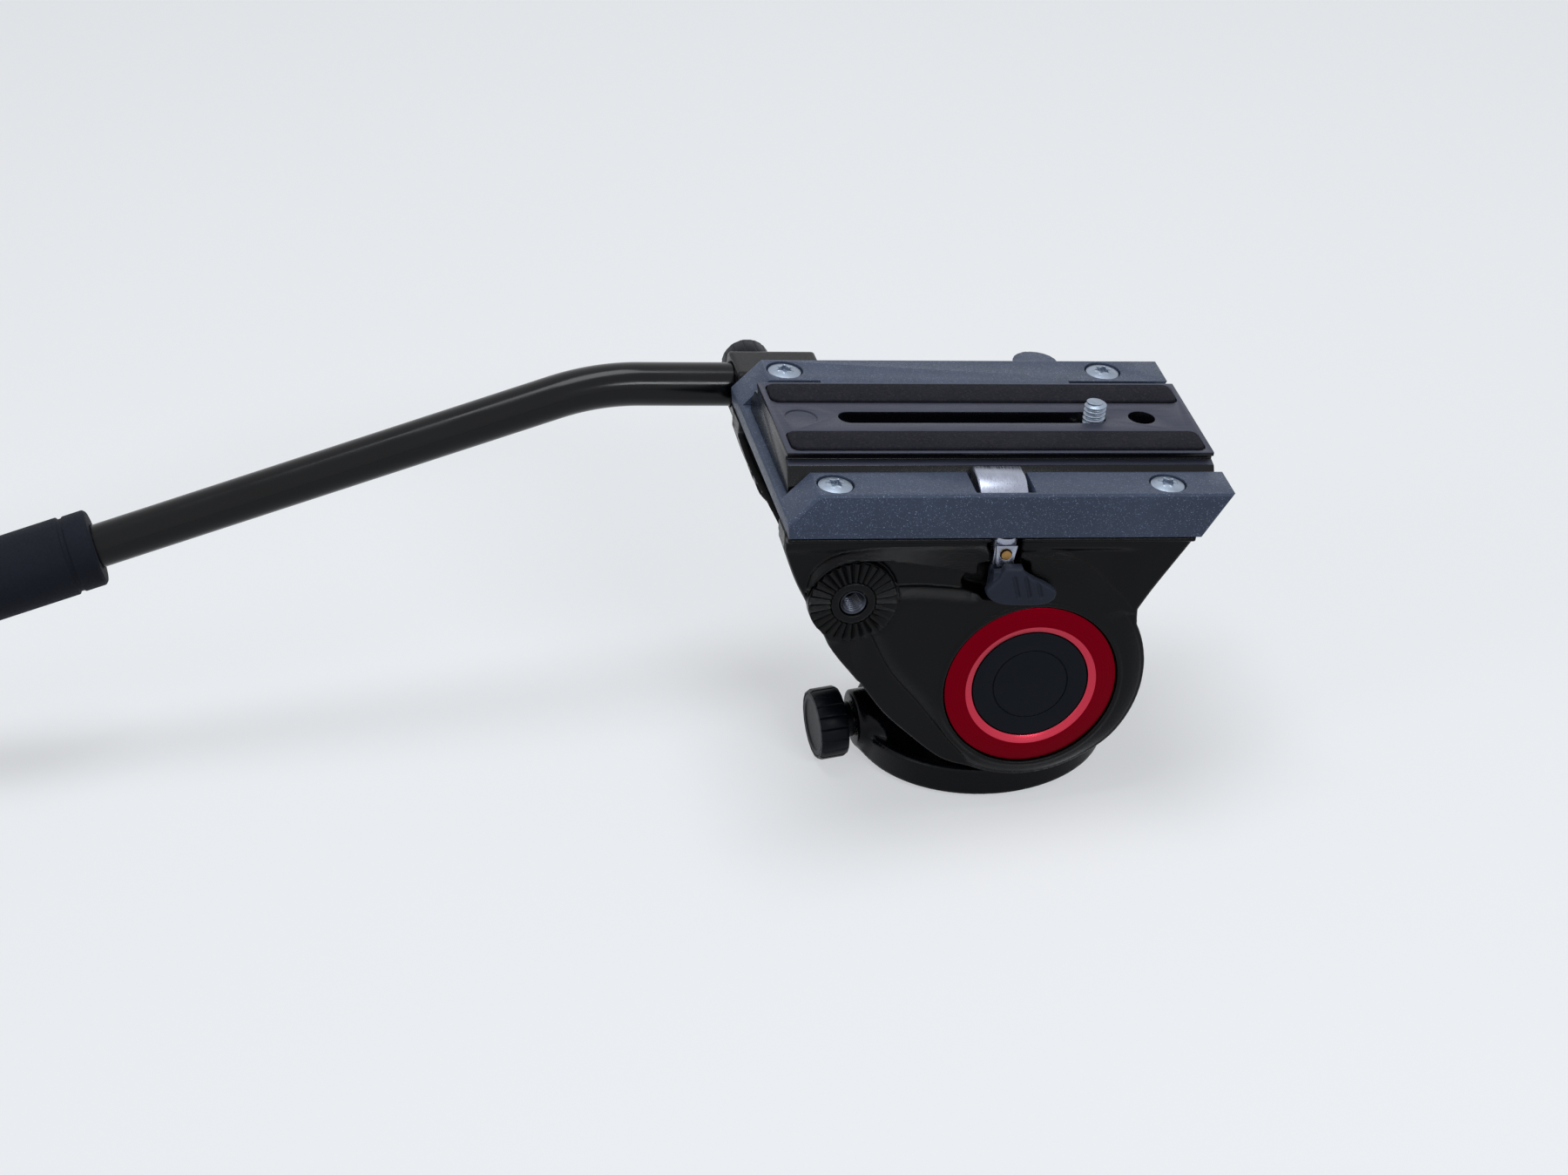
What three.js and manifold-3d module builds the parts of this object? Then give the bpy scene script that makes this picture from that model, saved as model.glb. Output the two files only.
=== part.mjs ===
// Fluid video head on a flat base, in millimetres, +Z up.
// The origin is on the pan axis, at the flat blind end of the tripod socket, so the underside lies below it.
// The tilting head is drawn level about its tilt axis, then turned as a whole to the tilt that it rests at.
import * as THREE from 'three';
import { mergeVertices } from 'three/addons/utils/BufferGeometryUtils.js';
import Module from 'manifold-3d';

const wasm = await Module();
wasm.setup();

// Clearances, and how finely round faces are drawn
const fitGap = 0.3;
const slideGap = 0.4;
const sideGap = 0.6;
const overrun = 1;
const fineSides = 36;
const middleSides = 20;
const plainSides = 16;
const smallSides = 10;
const grooveSides = 4;
const hexSides = 6;
const cornerSteps = 4;
const weldDistance = 1e-4;
const halfTurn = Math.PI;
const degree = Math.PI / 180;

// The tilt that the head rests at, and the bearing of the pan lock
const restTilt = 7.25 * degree;
const lockTurn = 184.4 * degree;

// Fixed base: disc, socket bush, spindle
const baseRadius = 30;
const baseThickness = 5.4;
const baseChamfer = 0.8;
const socketDepth = 11;
const socketRadius = 4.76;
const socketWall = 1.5;
const socketEndWall = 2;
const spindleNeckRadius = 11.4;
const spindleDrumRadius = 13.4;
const spindleDrumHeight = 10.4;
const baseScrewCircle = 8.9;
const baseScrewRadius = 1.25;
const baseScrewHeadRadius = 2.2;
const baseScrewHeadDepth = 1.3;
const baseScrewLength = 13;
const baseScrewCount = 3;

// Pan bearing
const retainerRadius = 19;
const retainerThickness = 2.5;
const washerThickness = 0.7;
const retainerScrewCircle = 16.2;
const retainerScrewRadius = 1.2;
const retainerScrewHeadRadius = 2;
const retainerScrewHeadDepth = 1.2;
const retainerScrewLength = 8.5;
const retainerScrewCount = 3;

// Pan body: dish, housing, column, barrel, boss of the pan lock
const dishRadius = 35.5;
const dishFoot = 1.3;
const dishHeight = 8.6;
const dishRimWidth = 3.4;
const dishRound = 1.1;
const dishDip = 1.4;
const housingRadius = 19.5;
const housingTop = 23;
const columnBack = 15.5;
const columnFront = 20.5;
const columnHalfWidth = 16;
const barrelRadius = 16.6;
const barrelBore = 12.4;
const barrelHalfLength = 19.6;
const barrelEndWall = 4.2;
const bossRadius = 8.2;
const bossReach = 37.6;
const bossFlare = 15;
const bossFlareTop = 5.6;

// Pan lock
const lockHeight = 11.7;
const lockKnobRadius = 10.1;
const lockKnobLength = 8.1;
const lockKnobEdge = 1.1;
const lockKnobGrooves = 16;
const lockGrooveRadius = 0.9;
const lockKnobStandOff = 3.3;
const lockNeckRadius = 5;
const lockScrewRadius = 2.5;
const lockScrewInKnob = 5.5;
const lockShoeRadius = 2.1;
const lockShoeLength = 3;

// Tilt axle, bushes, cartridges; a share is of a cartridge's depth between the hub's wall and the skin
const axleRadius = 6;
const axleNutShare = 0.236;
const axleNutRadius = 9.6;
const tiltBushRadius = 8.3;
const tiltBushFlange = 10.6;
const tiltBushFlangeShare = 0.127;
const hubWall = 5;
const hubRim = 3.1;
const dishClearance = 1.3;
const cartridgeRadius = 21.4;
const cupWall = 2.2;
const rotorRadius = 18.6;
const rotorShare = 0.29;
const brakePlateShare = 0.19;

// Counterbalance spring round the axle
const springRadius = 9.4;
const springWire = 2.4;
const springTurns = 7;
const springStepsPerTurn = 10;
const smallStepsPerTurn = 8;
const wireSides = 5;

// Cheek casting: its reach behind the tilt axis, its rise, its front, its round end, its layers
const cheekReach = 73.4;
const cheekRise = 46.2;
const cheekFront = 40.6;
const cheekRound = 32.6;
const cheekRoundRaise = 2;
const dishSideGap = 0.5;
const skinThickness = 2;
const reliefHeight = 1.3;
const flangeHeight = 1.6;
const rosetteHeight = 1.8;
const rimDepth = 8;
const rimWidth = 2.4;
const rimClearRadius = 48.5;
const flangeThickness = 5;
const flangeDepth = 12.6;
const skinBevel = 1;
const reliefBevel = 1;
const reliefSlope = 1.4;
const reliefInset = 1.1;
const bandEdgeDrop = 1.2;
const webBack = 24.2;
const webFront = 17;
const webLowShare = 0.73;
const screwBossRadius = 4.2;
const screwBossDepth = 5;

// Rosettes
const rosetteBack = 53.3;
const rosetteRaise = 26.6;
const rosetteRadius = 12.2;
const toothDepth = 1.3;
const toothInner = 6.7;
const toothOuter = 11.7;
const toothCount = 28;
const rosetteHub = 6.2;
const insertRadius = 3.6;
const insertBore = 2.55;
const insertLength = 8;
const insertSink = 0.5;
const insertSleeve = 2.2;

// Ring and cap over the near cartridge, cover over the far one
const ringRadius = 24.3;
const ringInner = 16.45;
const ringThickness = 2.9;
const ringBevelWidth = 1.95;
const ringBevelDepth = 0.9;
const ringLedge = 1.8;
const ringLedgeThickness = 0.9;
const capGrooveRadius = 10.3;
const capGrooveWidth = 0.4;
const capGrooveDepth = 0.3;
const coverBossRadius = 10;
const coverBossHeight = 1.6;

// Carrier: platform with two rails
const carrierOverhang = 0.8;
const carrierStep = 0.4;
const carrierStepHeight = 3.3;
const floorThickness = 5.6;
const railHeight = 7.8;
const channelHalfWidth = 27.2;
const lipBack = 52;
const lipFront = 20;
const carrierTopBack = 66.4;
const carrierBack = 74;
const carrierFloorBack = 73.3;
const carrierShoulderHeight = 4.8;
const carrierTopFront = 49.3;
const carrierFloorFront = 41.8;
const carrierEdge = 0.7;
const underPocketHalfWidth = 22;
const underPocketBack = 60;
const underPocketFront = 30;
const underPocketDepth = 2.9;

// Carrier screws
const carrierScrewBack = 60.8;
const carrierScrewFront = 31.9;
const carrierScrewOut = 33.66;
const carrierScrewRecess = 5.25;
const carrierScrewSink = 1.7;
const carrierScrewHead = 4.65;
const carrierScrewHeadHeight = 1.1;
const carrierScrewDome = 0.8;
const domeShares = [0.8, 0.65, 0.45];
const carrierScrewShank = 2.5;
const carrierScrewGrip = 8.6;
const carrierScrewSocket = 1.9;
const carrierScrewSocketDepth = 1.1;
const socketValleyShare = 0.72;
const socketLobes = 6;

// Sliding camera plate
const plateBack = 71.5;
const plateFront = 48.6;
const plateThickness = 10.1;
const plateHalfWidth = 20.8;
const plateNeck = 19.3;
const plateRidge = 22.2;
const plateBase = 25.4;
const slotHalfWidth = 3.35;
const slotBack = 53;
const slotFront = 23.1;
const slotLand = 3.2;
const channelClearance = 0.6;
const pinHoleAt = 33.6;
const pinHoleRadius = 3.8;
const markAt = 63.4;
const markRadius = 4.55;
const markDepth = 0.4;
const stripMiddle = 14.05;
const stripHalfWidth = 5.15;
const stripEndInset = 1.9;
const stripPocketDepth = 1;
const stripStandOut = 0.6;
const stripCorner = 2.4;
const stripBevel = 0.3;
const plateTravelBack = 22;
const plateTravelForward = 28;

// Camera screw and its clip
const cameraScrewRadius = 3.1;
const cameraScrewStandOut = 4.9;
const cameraScrewDome = 1;
const cameraScrewHead = 5.5;
const cameraScrewHeadHeight = 3.8;
const coinSlotWidth = 1.4;
const coinSlotDepth = 1.3;
const clipThickness = 0.8;

// Clamp of the near rail: jaw, shaft with its crank, tongue, rivet, thumb lever
const clampBack = 12.8;
const clampOut = 36.5;
const jawBack = 21;
const jawFront = 7.2;
const jawCutBack = 23.1;
const jawCutFront = 6.3;
const railOuterWall = 1.6;
const jawNose = 24.65;
const jawRise = 0.6;
const jawEdge = 0.4;
const jawFlankGap = 0.5;
const jawTopShares = [[0.44, 1], [0.64, 0.89], [0.8, 0.75], [0.93, 0.55], [1, 0.4]];
const shaftRadius = 3.5;
const journalRadius = 2.6;
const crankArm = 1.5;
const crankRadius = 1;
const crankHeight = 3;
const crankRoom = 0.3;
const clampTurn = 45 * degree;
const crankLead = 45 * degree;
const shaftDrop = 8.6;
const tongueDrop = 2.3;
const tongueLength = 8.6;
const tongueThickness = 1.2;
const tongueHalfWidth = 3;
const tongueTipShare = 0.6;
const leverBack = 5;
const leverFront = 14.8;
const leverTop = 39.6;
const leverFan = 11.9;
const leverThickness = 3.7;
const leverStandOff = 0.5;
const leverEdge = 0.9;
const leverSkin = 1.8;
const leverBossRaise = 2.7;
const leverGrooves = 3;
const leverGrooveRadius = 0.5;
const leverGrooveStep = 3.2;
const leverGrooveAt = 3;
const leverGrooveLength = 6.4;
const leverGrooveTurn = 72 * degree;
const rivetRadius = 1.4;
const rivetHead = 0.6;
const rivetDrop = 2.6;
const clampPocketRadius = 9.5;
const neckPocketRadius = 7.1;
const neckShare = 0.73;
const clampPocketBackGap = 4;
const clampPocketLow = 13.3;
const flangeSlotMargin = 0.4;

// Stop pin in the lug of the far rail
const stopAt = 13.7;
const lugOut = 39.8;
const lugRadius = 6.5;
const lugTopDrop = 0.3;
const stopPinRadius = 1.8;
const stopPinReach = 24;
const stopPinLength = 5.6;
const stopRodRadius = 0.8;
const stopSpringLength = 6.4;
const stopSpringWire = 0.5;
const stopSpringTurns = 6;
const stopButtonRadius = 3.7;
const stopButtonThickness = 3.4;
const stopTravel = 2;

// Tilt lock on the far side
const tiltLockScrewRadius = 3;
const tiltLockHub = 8.6;
const tiltLockHeight = 9.3;
const tiltLockArm = 30;
const tiltLockArmThickness = 5;
const tiltLockTip = 4.4;
const tiltLockBearing = 116 * degree;
const tiltLockEdge = 0.9;
const tiltLockScrewInHub = 6.5;

// Pan bar: tube, grip, bracket, two thumbscrews
const barOut = 50.3;
const barRaise = 46.9;
const tubeRadius = 6.2;
const tubeWall = 1.2;
const tubeStart = 54;
const bendAt = 110.4;
const bendRadius = 68;
const bendAngle = 20.5 * degree;
const bendSteps = 6;
const tubeSides = 16;
const gripFromBend = 146.9;
const gripLength = 118;
const gripRadius = 11.3;
const gripCollarRadius = 11;
const gripCollarLength = 7;
const gripGrooveDepth = 0.7;
const gripGrooveWidth = 1;
const gripRound = 4;
const gripEndWall = 13;
const socketBack = 71.8;
const socketFront = 46.8;
const socketHalfHeight = 7.4;
const bracketInner = 41.2;
const bracketOuter = 58;
const bracketRound = 2.6;
const bracketEdge = 1;
const lobeRadius = 12.3;
const lobeThickness = 7.2;
const barKnobAt = 63.8;
const barKnobDrop = 1.5;
const barKnobRadius = 6.9;
const barKnobLength = 8.9;
const barKnobStandOff = 1.7;
const barScrewRadius = 2;
const barScrewInKnob = 6;
const rosetteKnobRadius = 10.3;
const rosetteKnobLength = 13;
const rosetteScrewRadius = 2.25;
const rosetteScrewInInsert = 5.5;
const rosetteScrewInKnob = 9;
const knobGrooves = 14;
const knobGrooveRadius = 0.7;
const knobEdge = 0.8;

// Finishes
function finish(color, roughness, metalness) {
  return new THREE.MeshStandardMaterial({ color, roughness, metalness });
}
const blackCasting = finish(0x17181c, 0.55, 0.3);
const blueGreyPaint = finish(0x4a5566, 0.45, 0.4);
const plateGrey = finish(0x4b505c, 0.5, 0.4);
const redAnodised = finish(0xa8101f, 0.3, 0.8);
const blackPlastic = finish(0x202329, 0.5, 0);
const rubber = finish(0x2a2b30, 0.85, 0);
const glossBlack = finish(0x121317, 0.2, 0.3);
const zincSteel = finish(0xaab0bb, 0.3, 0.9);
const plainSteel = finish(0x8d929b, 0.35, 0.9);
const brassMetal = finish(0xb08a4a, 0.35, 0.9);
const whiteNylon = finish(0xd8d6cf, 0.6, 0);

// A closed geometry becomes a solid that can be joined and cut; its faces are turned outwards here
function signedVolume(points, corners) {
  const at = (i) => new THREE.Vector3().fromArray(points, i * 3);
  let volume = 0;
  for (let i = 0; i < corners.length; i += 3) {
    volume += at(corners[i]).dot(at(corners[i + 1]).cross(at(corners[i + 2])));
  }
  return volume;
}

function solid(geometry) {
  const bare = new THREE.BufferGeometry();
  bare.setAttribute('position', geometry.getAttribute('position'));
  if (geometry.index) bare.setIndex(geometry.index);
  const merged = mergeVertices(bare, weldDistance);
  const points = new Float32Array(merged.getAttribute('position').array);
  const corners = [];
  for (let i = 0; i < merged.index.count; i += 3) {
    const [a, b, c] = [0, 1, 2].map((k) => merged.index.getX(i + k));
    if (a !== b && b !== c && c !== a) corners.push(a, b, c);
  }
  if (signedVolume(points, corners) < 0) corners.reverse();
  const mesh = new wasm.Mesh({ numProp: 3, vertProperties: points, triVerts: new Uint32Array(corners) });
  return new wasm.Manifold(mesh);
}

function join(first, ...others) {
  return others.reduce((whole, piece) => whole.add(piece), first);
}

function cut(body, ...tools) {
  return tools.reduce((whole, tool) => whole.subtract(tool), body);
}

function geometryOf(body) {
  const { vertProperties, triVerts } = body.getMesh();
  const geometry = new THREE.BufferGeometry();
  geometry.setAttribute('position', new THREE.BufferAttribute(new Float32Array(vertProperties), 3));
  geometry.setIndex(new THREE.BufferAttribute(new Uint32Array(triVerts), 1));
  return geometry;
}

function moved(body, matrix) {
  return solid(geometryOf(body).applyMatrix4(matrix));
}

function place(group, name, body, material) {
  const geometry = geometryOf(body);
  geometry.computeVertexNormals();
  const mesh = new THREE.Mesh(geometry, material);
  mesh.name = name;
  group.add(mesh);
}

// Solids drawn across an axis and standing along it.
// Across X the pair is (y, z), across Y it is (x, z), across Z it is (x, y).
function axes(x, y, z) {
  const vector = (numbers) => new THREE.Vector3(...numbers);
  return new THREE.Matrix4().makeBasis(vector(x), vector(y), vector(z));
}
const across = {
  x: axes([0, 1, 0], [0, 0, 1], [1, 0, 0]),
  y: axes([1, 0, 0], [0, 0, 1], [0, -1, 0]),
  z: axes([1, 0, 0], [0, 1, 0], [0, 0, 1]),
};

// An outline between two places on an axis; both faces may have a bevel of a depth and a width
function slab(axis, outline, from, to, bevelDepth = 0, bevelWidth = bevelDepth) {
  const shape = new THREE.Shape(outline.map(([a, b]) => new THREE.Vector2(a, b)));
  const options = { depth: to - from - bevelDepth * 2, bevelEnabled: bevelDepth > 0, bevelSegments: 1 };
  options.bevelThickness = bevelDepth;
  options.bevelSize = bevelWidth;
  options.bevelOffset = -bevelWidth;
  const geometry = new THREE.ExtrudeGeometry(shape, options);
  const start = axis === 'y' ? -to : from;
  geometry.translate(0, 0, start + bevelDepth);
  geometry.applyMatrix4(across[axis]);
  return solid(geometry);
}

function block(x0, x1, y0, y1, z0, z1) {
  const geometry = new THREE.BoxGeometry(x1 - x0, y1 - y0, z1 - z0);
  geometry.translate((x0 + x1) / 2, (y0 + y1) / 2, (z0 + z1) / 2);
  return solid(geometry);
}

// A round body about an axis; the profile lists [radius, place along the axis]
function turned(axis, profile, centre = [0, 0], sides = middleSides) {
  const geometry = new THREE.LatheGeometry(profile.map(([r, h]) => new THREE.Vector2(r, h)), sides);
  if (axis !== 'y') geometry.rotateX(halfTurn / 2);
  if (axis === 'x') geometry.rotateY(halfTurn / 2);
  if (axis === 'x') geometry.translate(0, centre[0], centre[1]);
  if (axis === 'y') geometry.translate(centre[0], 0, centre[1]);
  if (axis === 'z') geometry.translate(centre[0], centre[1], 0);
  return solid(geometry);
}

function rod(axis, radius, from, to, centre, sides) {
  return turned(axis, [[0, from], [radius, from], [radius, to], [0, to]], centre, sides);
}

function pipe(axis, outer, inner, from, to, centre, sides) {
  return turned(axis, [[inner, from], [outer, from], [outer, to], [inner, to], [inner, from]], centre, sides);
}

// A rod whose two end edges are cut off at an angle
function edgedRod(axis, radius, from, to, edge, centre, sides) {
  const profile = [
    [0, from], [radius - edge, from], [radius, from + edge], [radius, to - edge], [radius - edge, to], [0, to],
  ];
  return turned(axis, profile, centre, sides);
}

// A screw with a countersunk head that faces down
function countersunk(radius, headRadius, headDepth, face, end, centre) {
  const profile = [[0, face], [headRadius, face], [radius, face + headDepth], [radius, end], [0, end]];
  return turned('z', profile, centre, smallSides);
}

// Places round a circle, and the points of an arc
function ring(count, radius, centre = [0, 0]) {
  return arc(radius, 0, halfTurn * 2, count, centre).slice(0, count);
}

function arc(radius, from, to, steps, centre = [0, 0]) {
  return Array.from({ length: steps + 1 }, (_, i) => {
    const angle = from + (to - from) * i / steps;
    return [centre[0] + radius * Math.cos(angle), centre[1] + radius * Math.sin(angle)];
  });
}

function roundedBox(a0, a1, b0, b1, radius) {
  const quarterTurn = halfTurn / 2;
  const corner = (a, b, quarter) =>
    arc(radius, quarterTurn * quarter, quarterTurn * (quarter + 1), cornerSteps, [a, b]);
  return [
    ...corner(a1 - radius, b1 - radius, 0), ...corner(a0 + radius, b1 - radius, 1),
    ...corner(a0 + radius, b0 + radius, 2), ...corner(a1 - radius, b0 + radius, 3),
  ];
}

// A slot along X with round ends
function slotOutline(x0, x1, halfWidth) {
  return [
    ...arc(halfWidth, -halfTurn / 2, halfTurn / 2, smallSides, [x1 - halfWidth, 0]),
    ...arc(halfWidth, halfTurn / 2, halfTurn * 3 / 2, smallSides, [x0 + halfWidth, 0]),
  ];
}

// One unbroken wire wound about Y between two places
function coil(radius, wire, turns, stepsPerTurn, from, to, centre = [0, 0]) {
  const rings = turns * stepsPerTurn;
  const start = from + wire / 2;
  const length = to - from - wire;
  const points = [];
  const corners = [];
  for (let i = 0; i <= rings; i += 1) {
    const turn = halfTurn * 2 * i / stepsPerTurn;
    for (let j = 0; j < wireSides; j += 1) {
      const round = halfTurn * 2 * j / wireSides;
      const out = radius + wire / 2 * Math.cos(round);
      const along = start + length * i / rings + wire / 2 * Math.sin(round);
      points.push(centre[0] + out * Math.cos(turn), along, centre[1] + out * Math.sin(turn));
    }
  }
  for (let i = 0; i < rings; i += 1) {
    for (let j = 0; j < wireSides; j += 1) {
      const a = i * wireSides + j;
      const b = i * wireSides + (j + 1) % wireSides;
      corners.push(a, b, a + wireSides, b, b + wireSides, a + wireSides);
    }
  }
  const last = rings * wireSides;
  for (let j = 1; j < wireSides - 1; j += 1) {
    corners.push(0, j + 1, j, last, last + j, last + j + 1);
  }
  return solid(bufferOf(points, corners));
}

function bufferOf(points, corners) {
  const geometry = new THREE.BufferGeometry();
  geometry.setAttribute('position', new THREE.BufferAttribute(new Float32Array(points), 3));
  geometry.setIndex(corners);
  return geometry;
}

// Rings of four points, each ring joined to the next; an open row of rings is closed at both ends
function ringed(rings, closed) {
  const corners = [];
  const count = closed ? rings.length : rings.length - 1;
  for (let i = 0; i < count; i += 1) {
    const here = i * 4;
    const next = ((i + 1) % rings.length) * 4;
    for (let k = 0; k < 4; k += 1) {
      const l = (k + 1) % 4;
      corners.push(here + k, here + l, next + k, here + l, next + l, next + k);
    }
  }
  const last = (rings.length - 1) * 4;
  if (!closed) corners.push(0, 2, 1, 0, 3, 2, last, last + 1, last + 2, last, last + 2, last + 3);
  return solid(bufferOf(rings.flat(2), corners));
}

// Groups: the part stands on its underside, and the head hangs on the tilt axis
const hubRadius = ringRadius + hubRim;
const dishRim = dishFoot + dishHeight;
const tiltAxisHeight = dishRim + dishClearance + hubRadius;
const tiltAxisForward = 5.3;
const tiltCentre = [tiltAxisForward, tiltAxisHeight];
const whole = new THREE.Group();
const standing = new THREE.Group();
standing.position.z = -socketDepth;
whole.add(standing);
const head = new THREE.Group();
head.position.set(tiltAxisForward, 0, tiltAxisHeight);
head.rotation.y = restTilt;
standing.add(head);
const lock = new THREE.Group();
lock.rotation.z = lockTurn;
standing.add(lock);

// Heights of the pan bearing over the underside
const retainerBottom = baseThickness + sideGap;
const retainerTop = retainerBottom + retainerThickness;
const washerBottom = retainerTop + fitGap / 2;
const drumBottom = washerBottom + washerThickness + fitGap / 2;
const drumTop = drumBottom + spindleDrumHeight;
const panCavityTop = drumTop + fitGap;
const bushRadius = socketRadius + socketWall;
const bushTop = socketDepth + socketEndWall;
const baseScrewPlaces = ring(baseScrewCount, baseScrewCircle);
const retainerScrewPlaces = ring(retainerScrewCount, retainerScrewCircle);

// Fixed base
function baseDisc() {
  const disc = edgedRod('z', baseRadius, 0, baseThickness, baseChamfer, [0, 0], fineSides);
  const bushHole = rod('z', bushRadius + fitGap, -overrun, baseThickness + overrun, [0, 0], plainSides);
  const screwHoles = baseScrewPlaces.map((at) => countersunk(baseScrewRadius + fitGap,
    baseScrewHeadRadius + fitGap, baseScrewHeadDepth, 0, baseThickness + overrun, at));
  return cut(disc, bushHole, ...screwHoles);
}

function panSpindle() {
  const neck = rod('z', spindleNeckRadius, baseThickness, drumBottom + overrun, [0, 0], plainSides);
  const drum = rod('z', spindleDrumRadius, drumBottom, drumTop, [0, 0], plainSides);
  const bushHole = rod('z', bushRadius + fitGap, baseThickness - overrun, bushTop + fitGap);
  const screwHoles = baseScrewPlaces.map((at) =>
    rod('z', baseScrewRadius + fitGap, baseThickness - overrun, baseScrewLength + fitGap, at, smallSides));
  return cut(join(neck, drum), bushHole, ...screwHoles);
}

const socketBush = cut(rod('z', bushRadius, 0, bushTop), rod('z', socketRadius, -overrun, socketDepth));
place(standing, 'base_disc', baseDisc(), plainSteel);
place(standing, 'tripod_socket_bush', socketBush, zincSteel);
place(standing, 'pan_spindle', panSpindle(), plainSteel);
baseScrewPlaces.forEach((at, i) => {
  const screw = countersunk(
    baseScrewRadius, baseScrewHeadRadius, baseScrewHeadDepth, fitGap, baseScrewLength, at);
  place(standing, `base_screw_${i + 1}`, screw, zincSteel);
});

// Pan bearing
function panRetainer() {
  const inner = spindleNeckRadius + fitGap;
  const body = pipe('z', retainerRadius, inner, retainerBottom, retainerTop, [0, 0], plainSides);
  const holes = retainerScrewPlaces.map((at) => countersunk(retainerScrewRadius + fitGap,
    retainerScrewHeadRadius + fitGap, retainerScrewHeadDepth, retainerBottom, retainerTop + overrun, at));
  return cut(body, ...holes);
}

const washerInner = spindleNeckRadius + fitGap;
const washerTop = washerBottom + washerThickness;
const thrustWasher = pipe('z', spindleDrumRadius, washerInner, washerBottom, washerTop, [0, 0], plainSides);
const retainerScrewEnd = retainerBottom + retainerScrewLength;
place(standing, 'pan_retaining_ring', panRetainer(), plainSteel);
place(standing, 'pan_thrust_washer', thrustWasher, whiteNylon);
retainerScrewPlaces.forEach((at, i) => {
  const screw = countersunk(retainerScrewRadius, retainerScrewHeadRadius, retainerScrewHeadDepth,
    retainerBottom + fitGap, retainerScrewEnd, at);
  place(standing, `retainer_screw_${i + 1}`, screw, zincSteel);
});

// Pan body
const dishFloor = dishRim - dishDip;
const boreEnd = barrelHalfLength - barrelEndWall;

function dish() {
  return turned('z', [
    [0, dishFoot], [dishRadius - dishRound, dishFoot], [dishRadius, dishFoot + dishRound],
    [dishRadius, dishRim - dishRound], [dishRadius - dishRound, dishRim],
    [dishRadius - dishRimWidth, dishRim],
    [dishRadius - dishRimWidth - dishDip, dishFloor], [0, dishFloor],
  ], [0, 0], fineSides);
}

// Round at its end, it flares towards the rim of the dish and runs in to the housing
function lockBoss() {
  const round = edgedRod('x', bossRadius, spindleDrumRadius, bossReach, dishRound, [0, lockHeight]);
  const aboveFoot = block(0, bossReach + overrun, -bossFlare, bossFlare, dishFoot + dishRound, housingTop);
  const flare = slab('x', [
    [-bossFlare, dishFloor - overrun], [bossFlare, dishFloor - overrun],
    [bossRadius, lockHeight + bossFlareTop],
    [-bossRadius, lockHeight + bossFlareTop],
  ], spindleDrumRadius, dishRadius);
  const insideRim = rod('z', dishRadius - dishRound, dishFoot, housingTop, [0, 0], fineSides);
  return join(round.intersect(aboveFoot), flare.intersect(insideRim));
}

function panBody() {
  const turnToLock = new THREE.Matrix4().makeRotationZ(lockTurn);
  const column = slab('y', [
    [-columnBack, dishFloor - overrun], [columnFront, dishFloor - overrun],
    [tiltAxisForward + barrelRadius, tiltAxisHeight], [tiltAxisForward - barrelRadius, tiltAxisHeight],
  ], -columnHalfWidth, columnHalfWidth);
  const housing = rod('z', housingRadius, dishFloor - overrun, housingTop, [0, 0], fineSides);
  const barrel = rod('y', barrelRadius, -barrelHalfLength, barrelHalfLength, tiltCentre, fineSides);
  const lockHole = rod('x', lockScrewRadius + fitGap, 0, bossReach + overrun, [0, lockHeight], smallSides);
  const screwHoles = retainerScrewPlaces.map((at) =>
    rod('z', retainerScrewRadius + fitGap, retainerTop - overrun, retainerScrewEnd + fitGap, at, smallSides));
  const hollows = [
    rod('z', baseRadius + sideGap, 0, baseThickness + fitGap, [0, 0], fineSides),
    rod('z', retainerRadius + fitGap, 0, retainerTop, [0, 0], plainSides),
    rod('z', spindleDrumRadius + fitGap, 0, panCavityTop, [0, 0], plainSides),
    rod('y', barrelBore, -boreEnd, barrelHalfLength + overrun, tiltCentre, plainSides),
    rod('y', axleRadius + fitGap, -barrelHalfLength - overrun, 0, tiltCentre),
    moved(lockHole, turnToLock),
  ];
  return cut(join(dish(), housing, column, barrel, moved(lockBoss(), turnToLock)), ...hollows, ...screwHoles);
}

place(standing, 'pan_body', panBody(), blackCasting);

// A knob about an axis with grooves along its rim, and a blind seat for its screw
function groovedKnob(axis, centre, from, to, edge, radius, grooves, grooveRadius, seat) {
  const body = edgedRod(axis, radius, from, to, edge, centre, grooves * 2);
  const cuts = ring(grooves, radius, centre).map((at) =>
    rod(axis, grooveRadius, from - overrun, to - edge * 2, at, grooveSides));
  return cut(body, ...cuts, seat);
}

// Pan lock, along X in its own turned group
const lockKnobInner = bossReach + lockKnobStandOff;
const lockCentre = [0, lockHeight];
const lockShoeInner = spindleDrumRadius + fitGap;
const lockScrewEnd = lockKnobInner + lockScrewInKnob;
const lockSeat = rod('x', lockScrewRadius + fitGap, 0, lockScrewEnd + fitGap, lockCentre, smallSides);
const lockKnob = groovedKnob('x', lockCentre, lockKnobInner, lockKnobInner + lockKnobLength, lockKnobEdge,
  lockKnobRadius, lockKnobGrooves, lockGrooveRadius, lockSeat);
const lockScrewStart = lockShoeInner + lockShoeLength + fitGap;
const lockScrew = rod('x', lockScrewRadius, lockScrewStart, lockScrewEnd, lockCentre, smallSides);
const lockNeck = pipe('x', lockNeckRadius, lockScrewRadius + fitGap, bossReach + slideGap,
  lockKnobInner + lockKnobEdge, lockCentre, middleSides);
const lockShoe = rod(
  'x', lockShoeRadius, lockShoeInner, lockShoeInner + lockShoeLength, lockCentre, smallSides);
place(lock, 'pan_lock_knob', join(lockKnob, lockNeck), blackPlastic);
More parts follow.
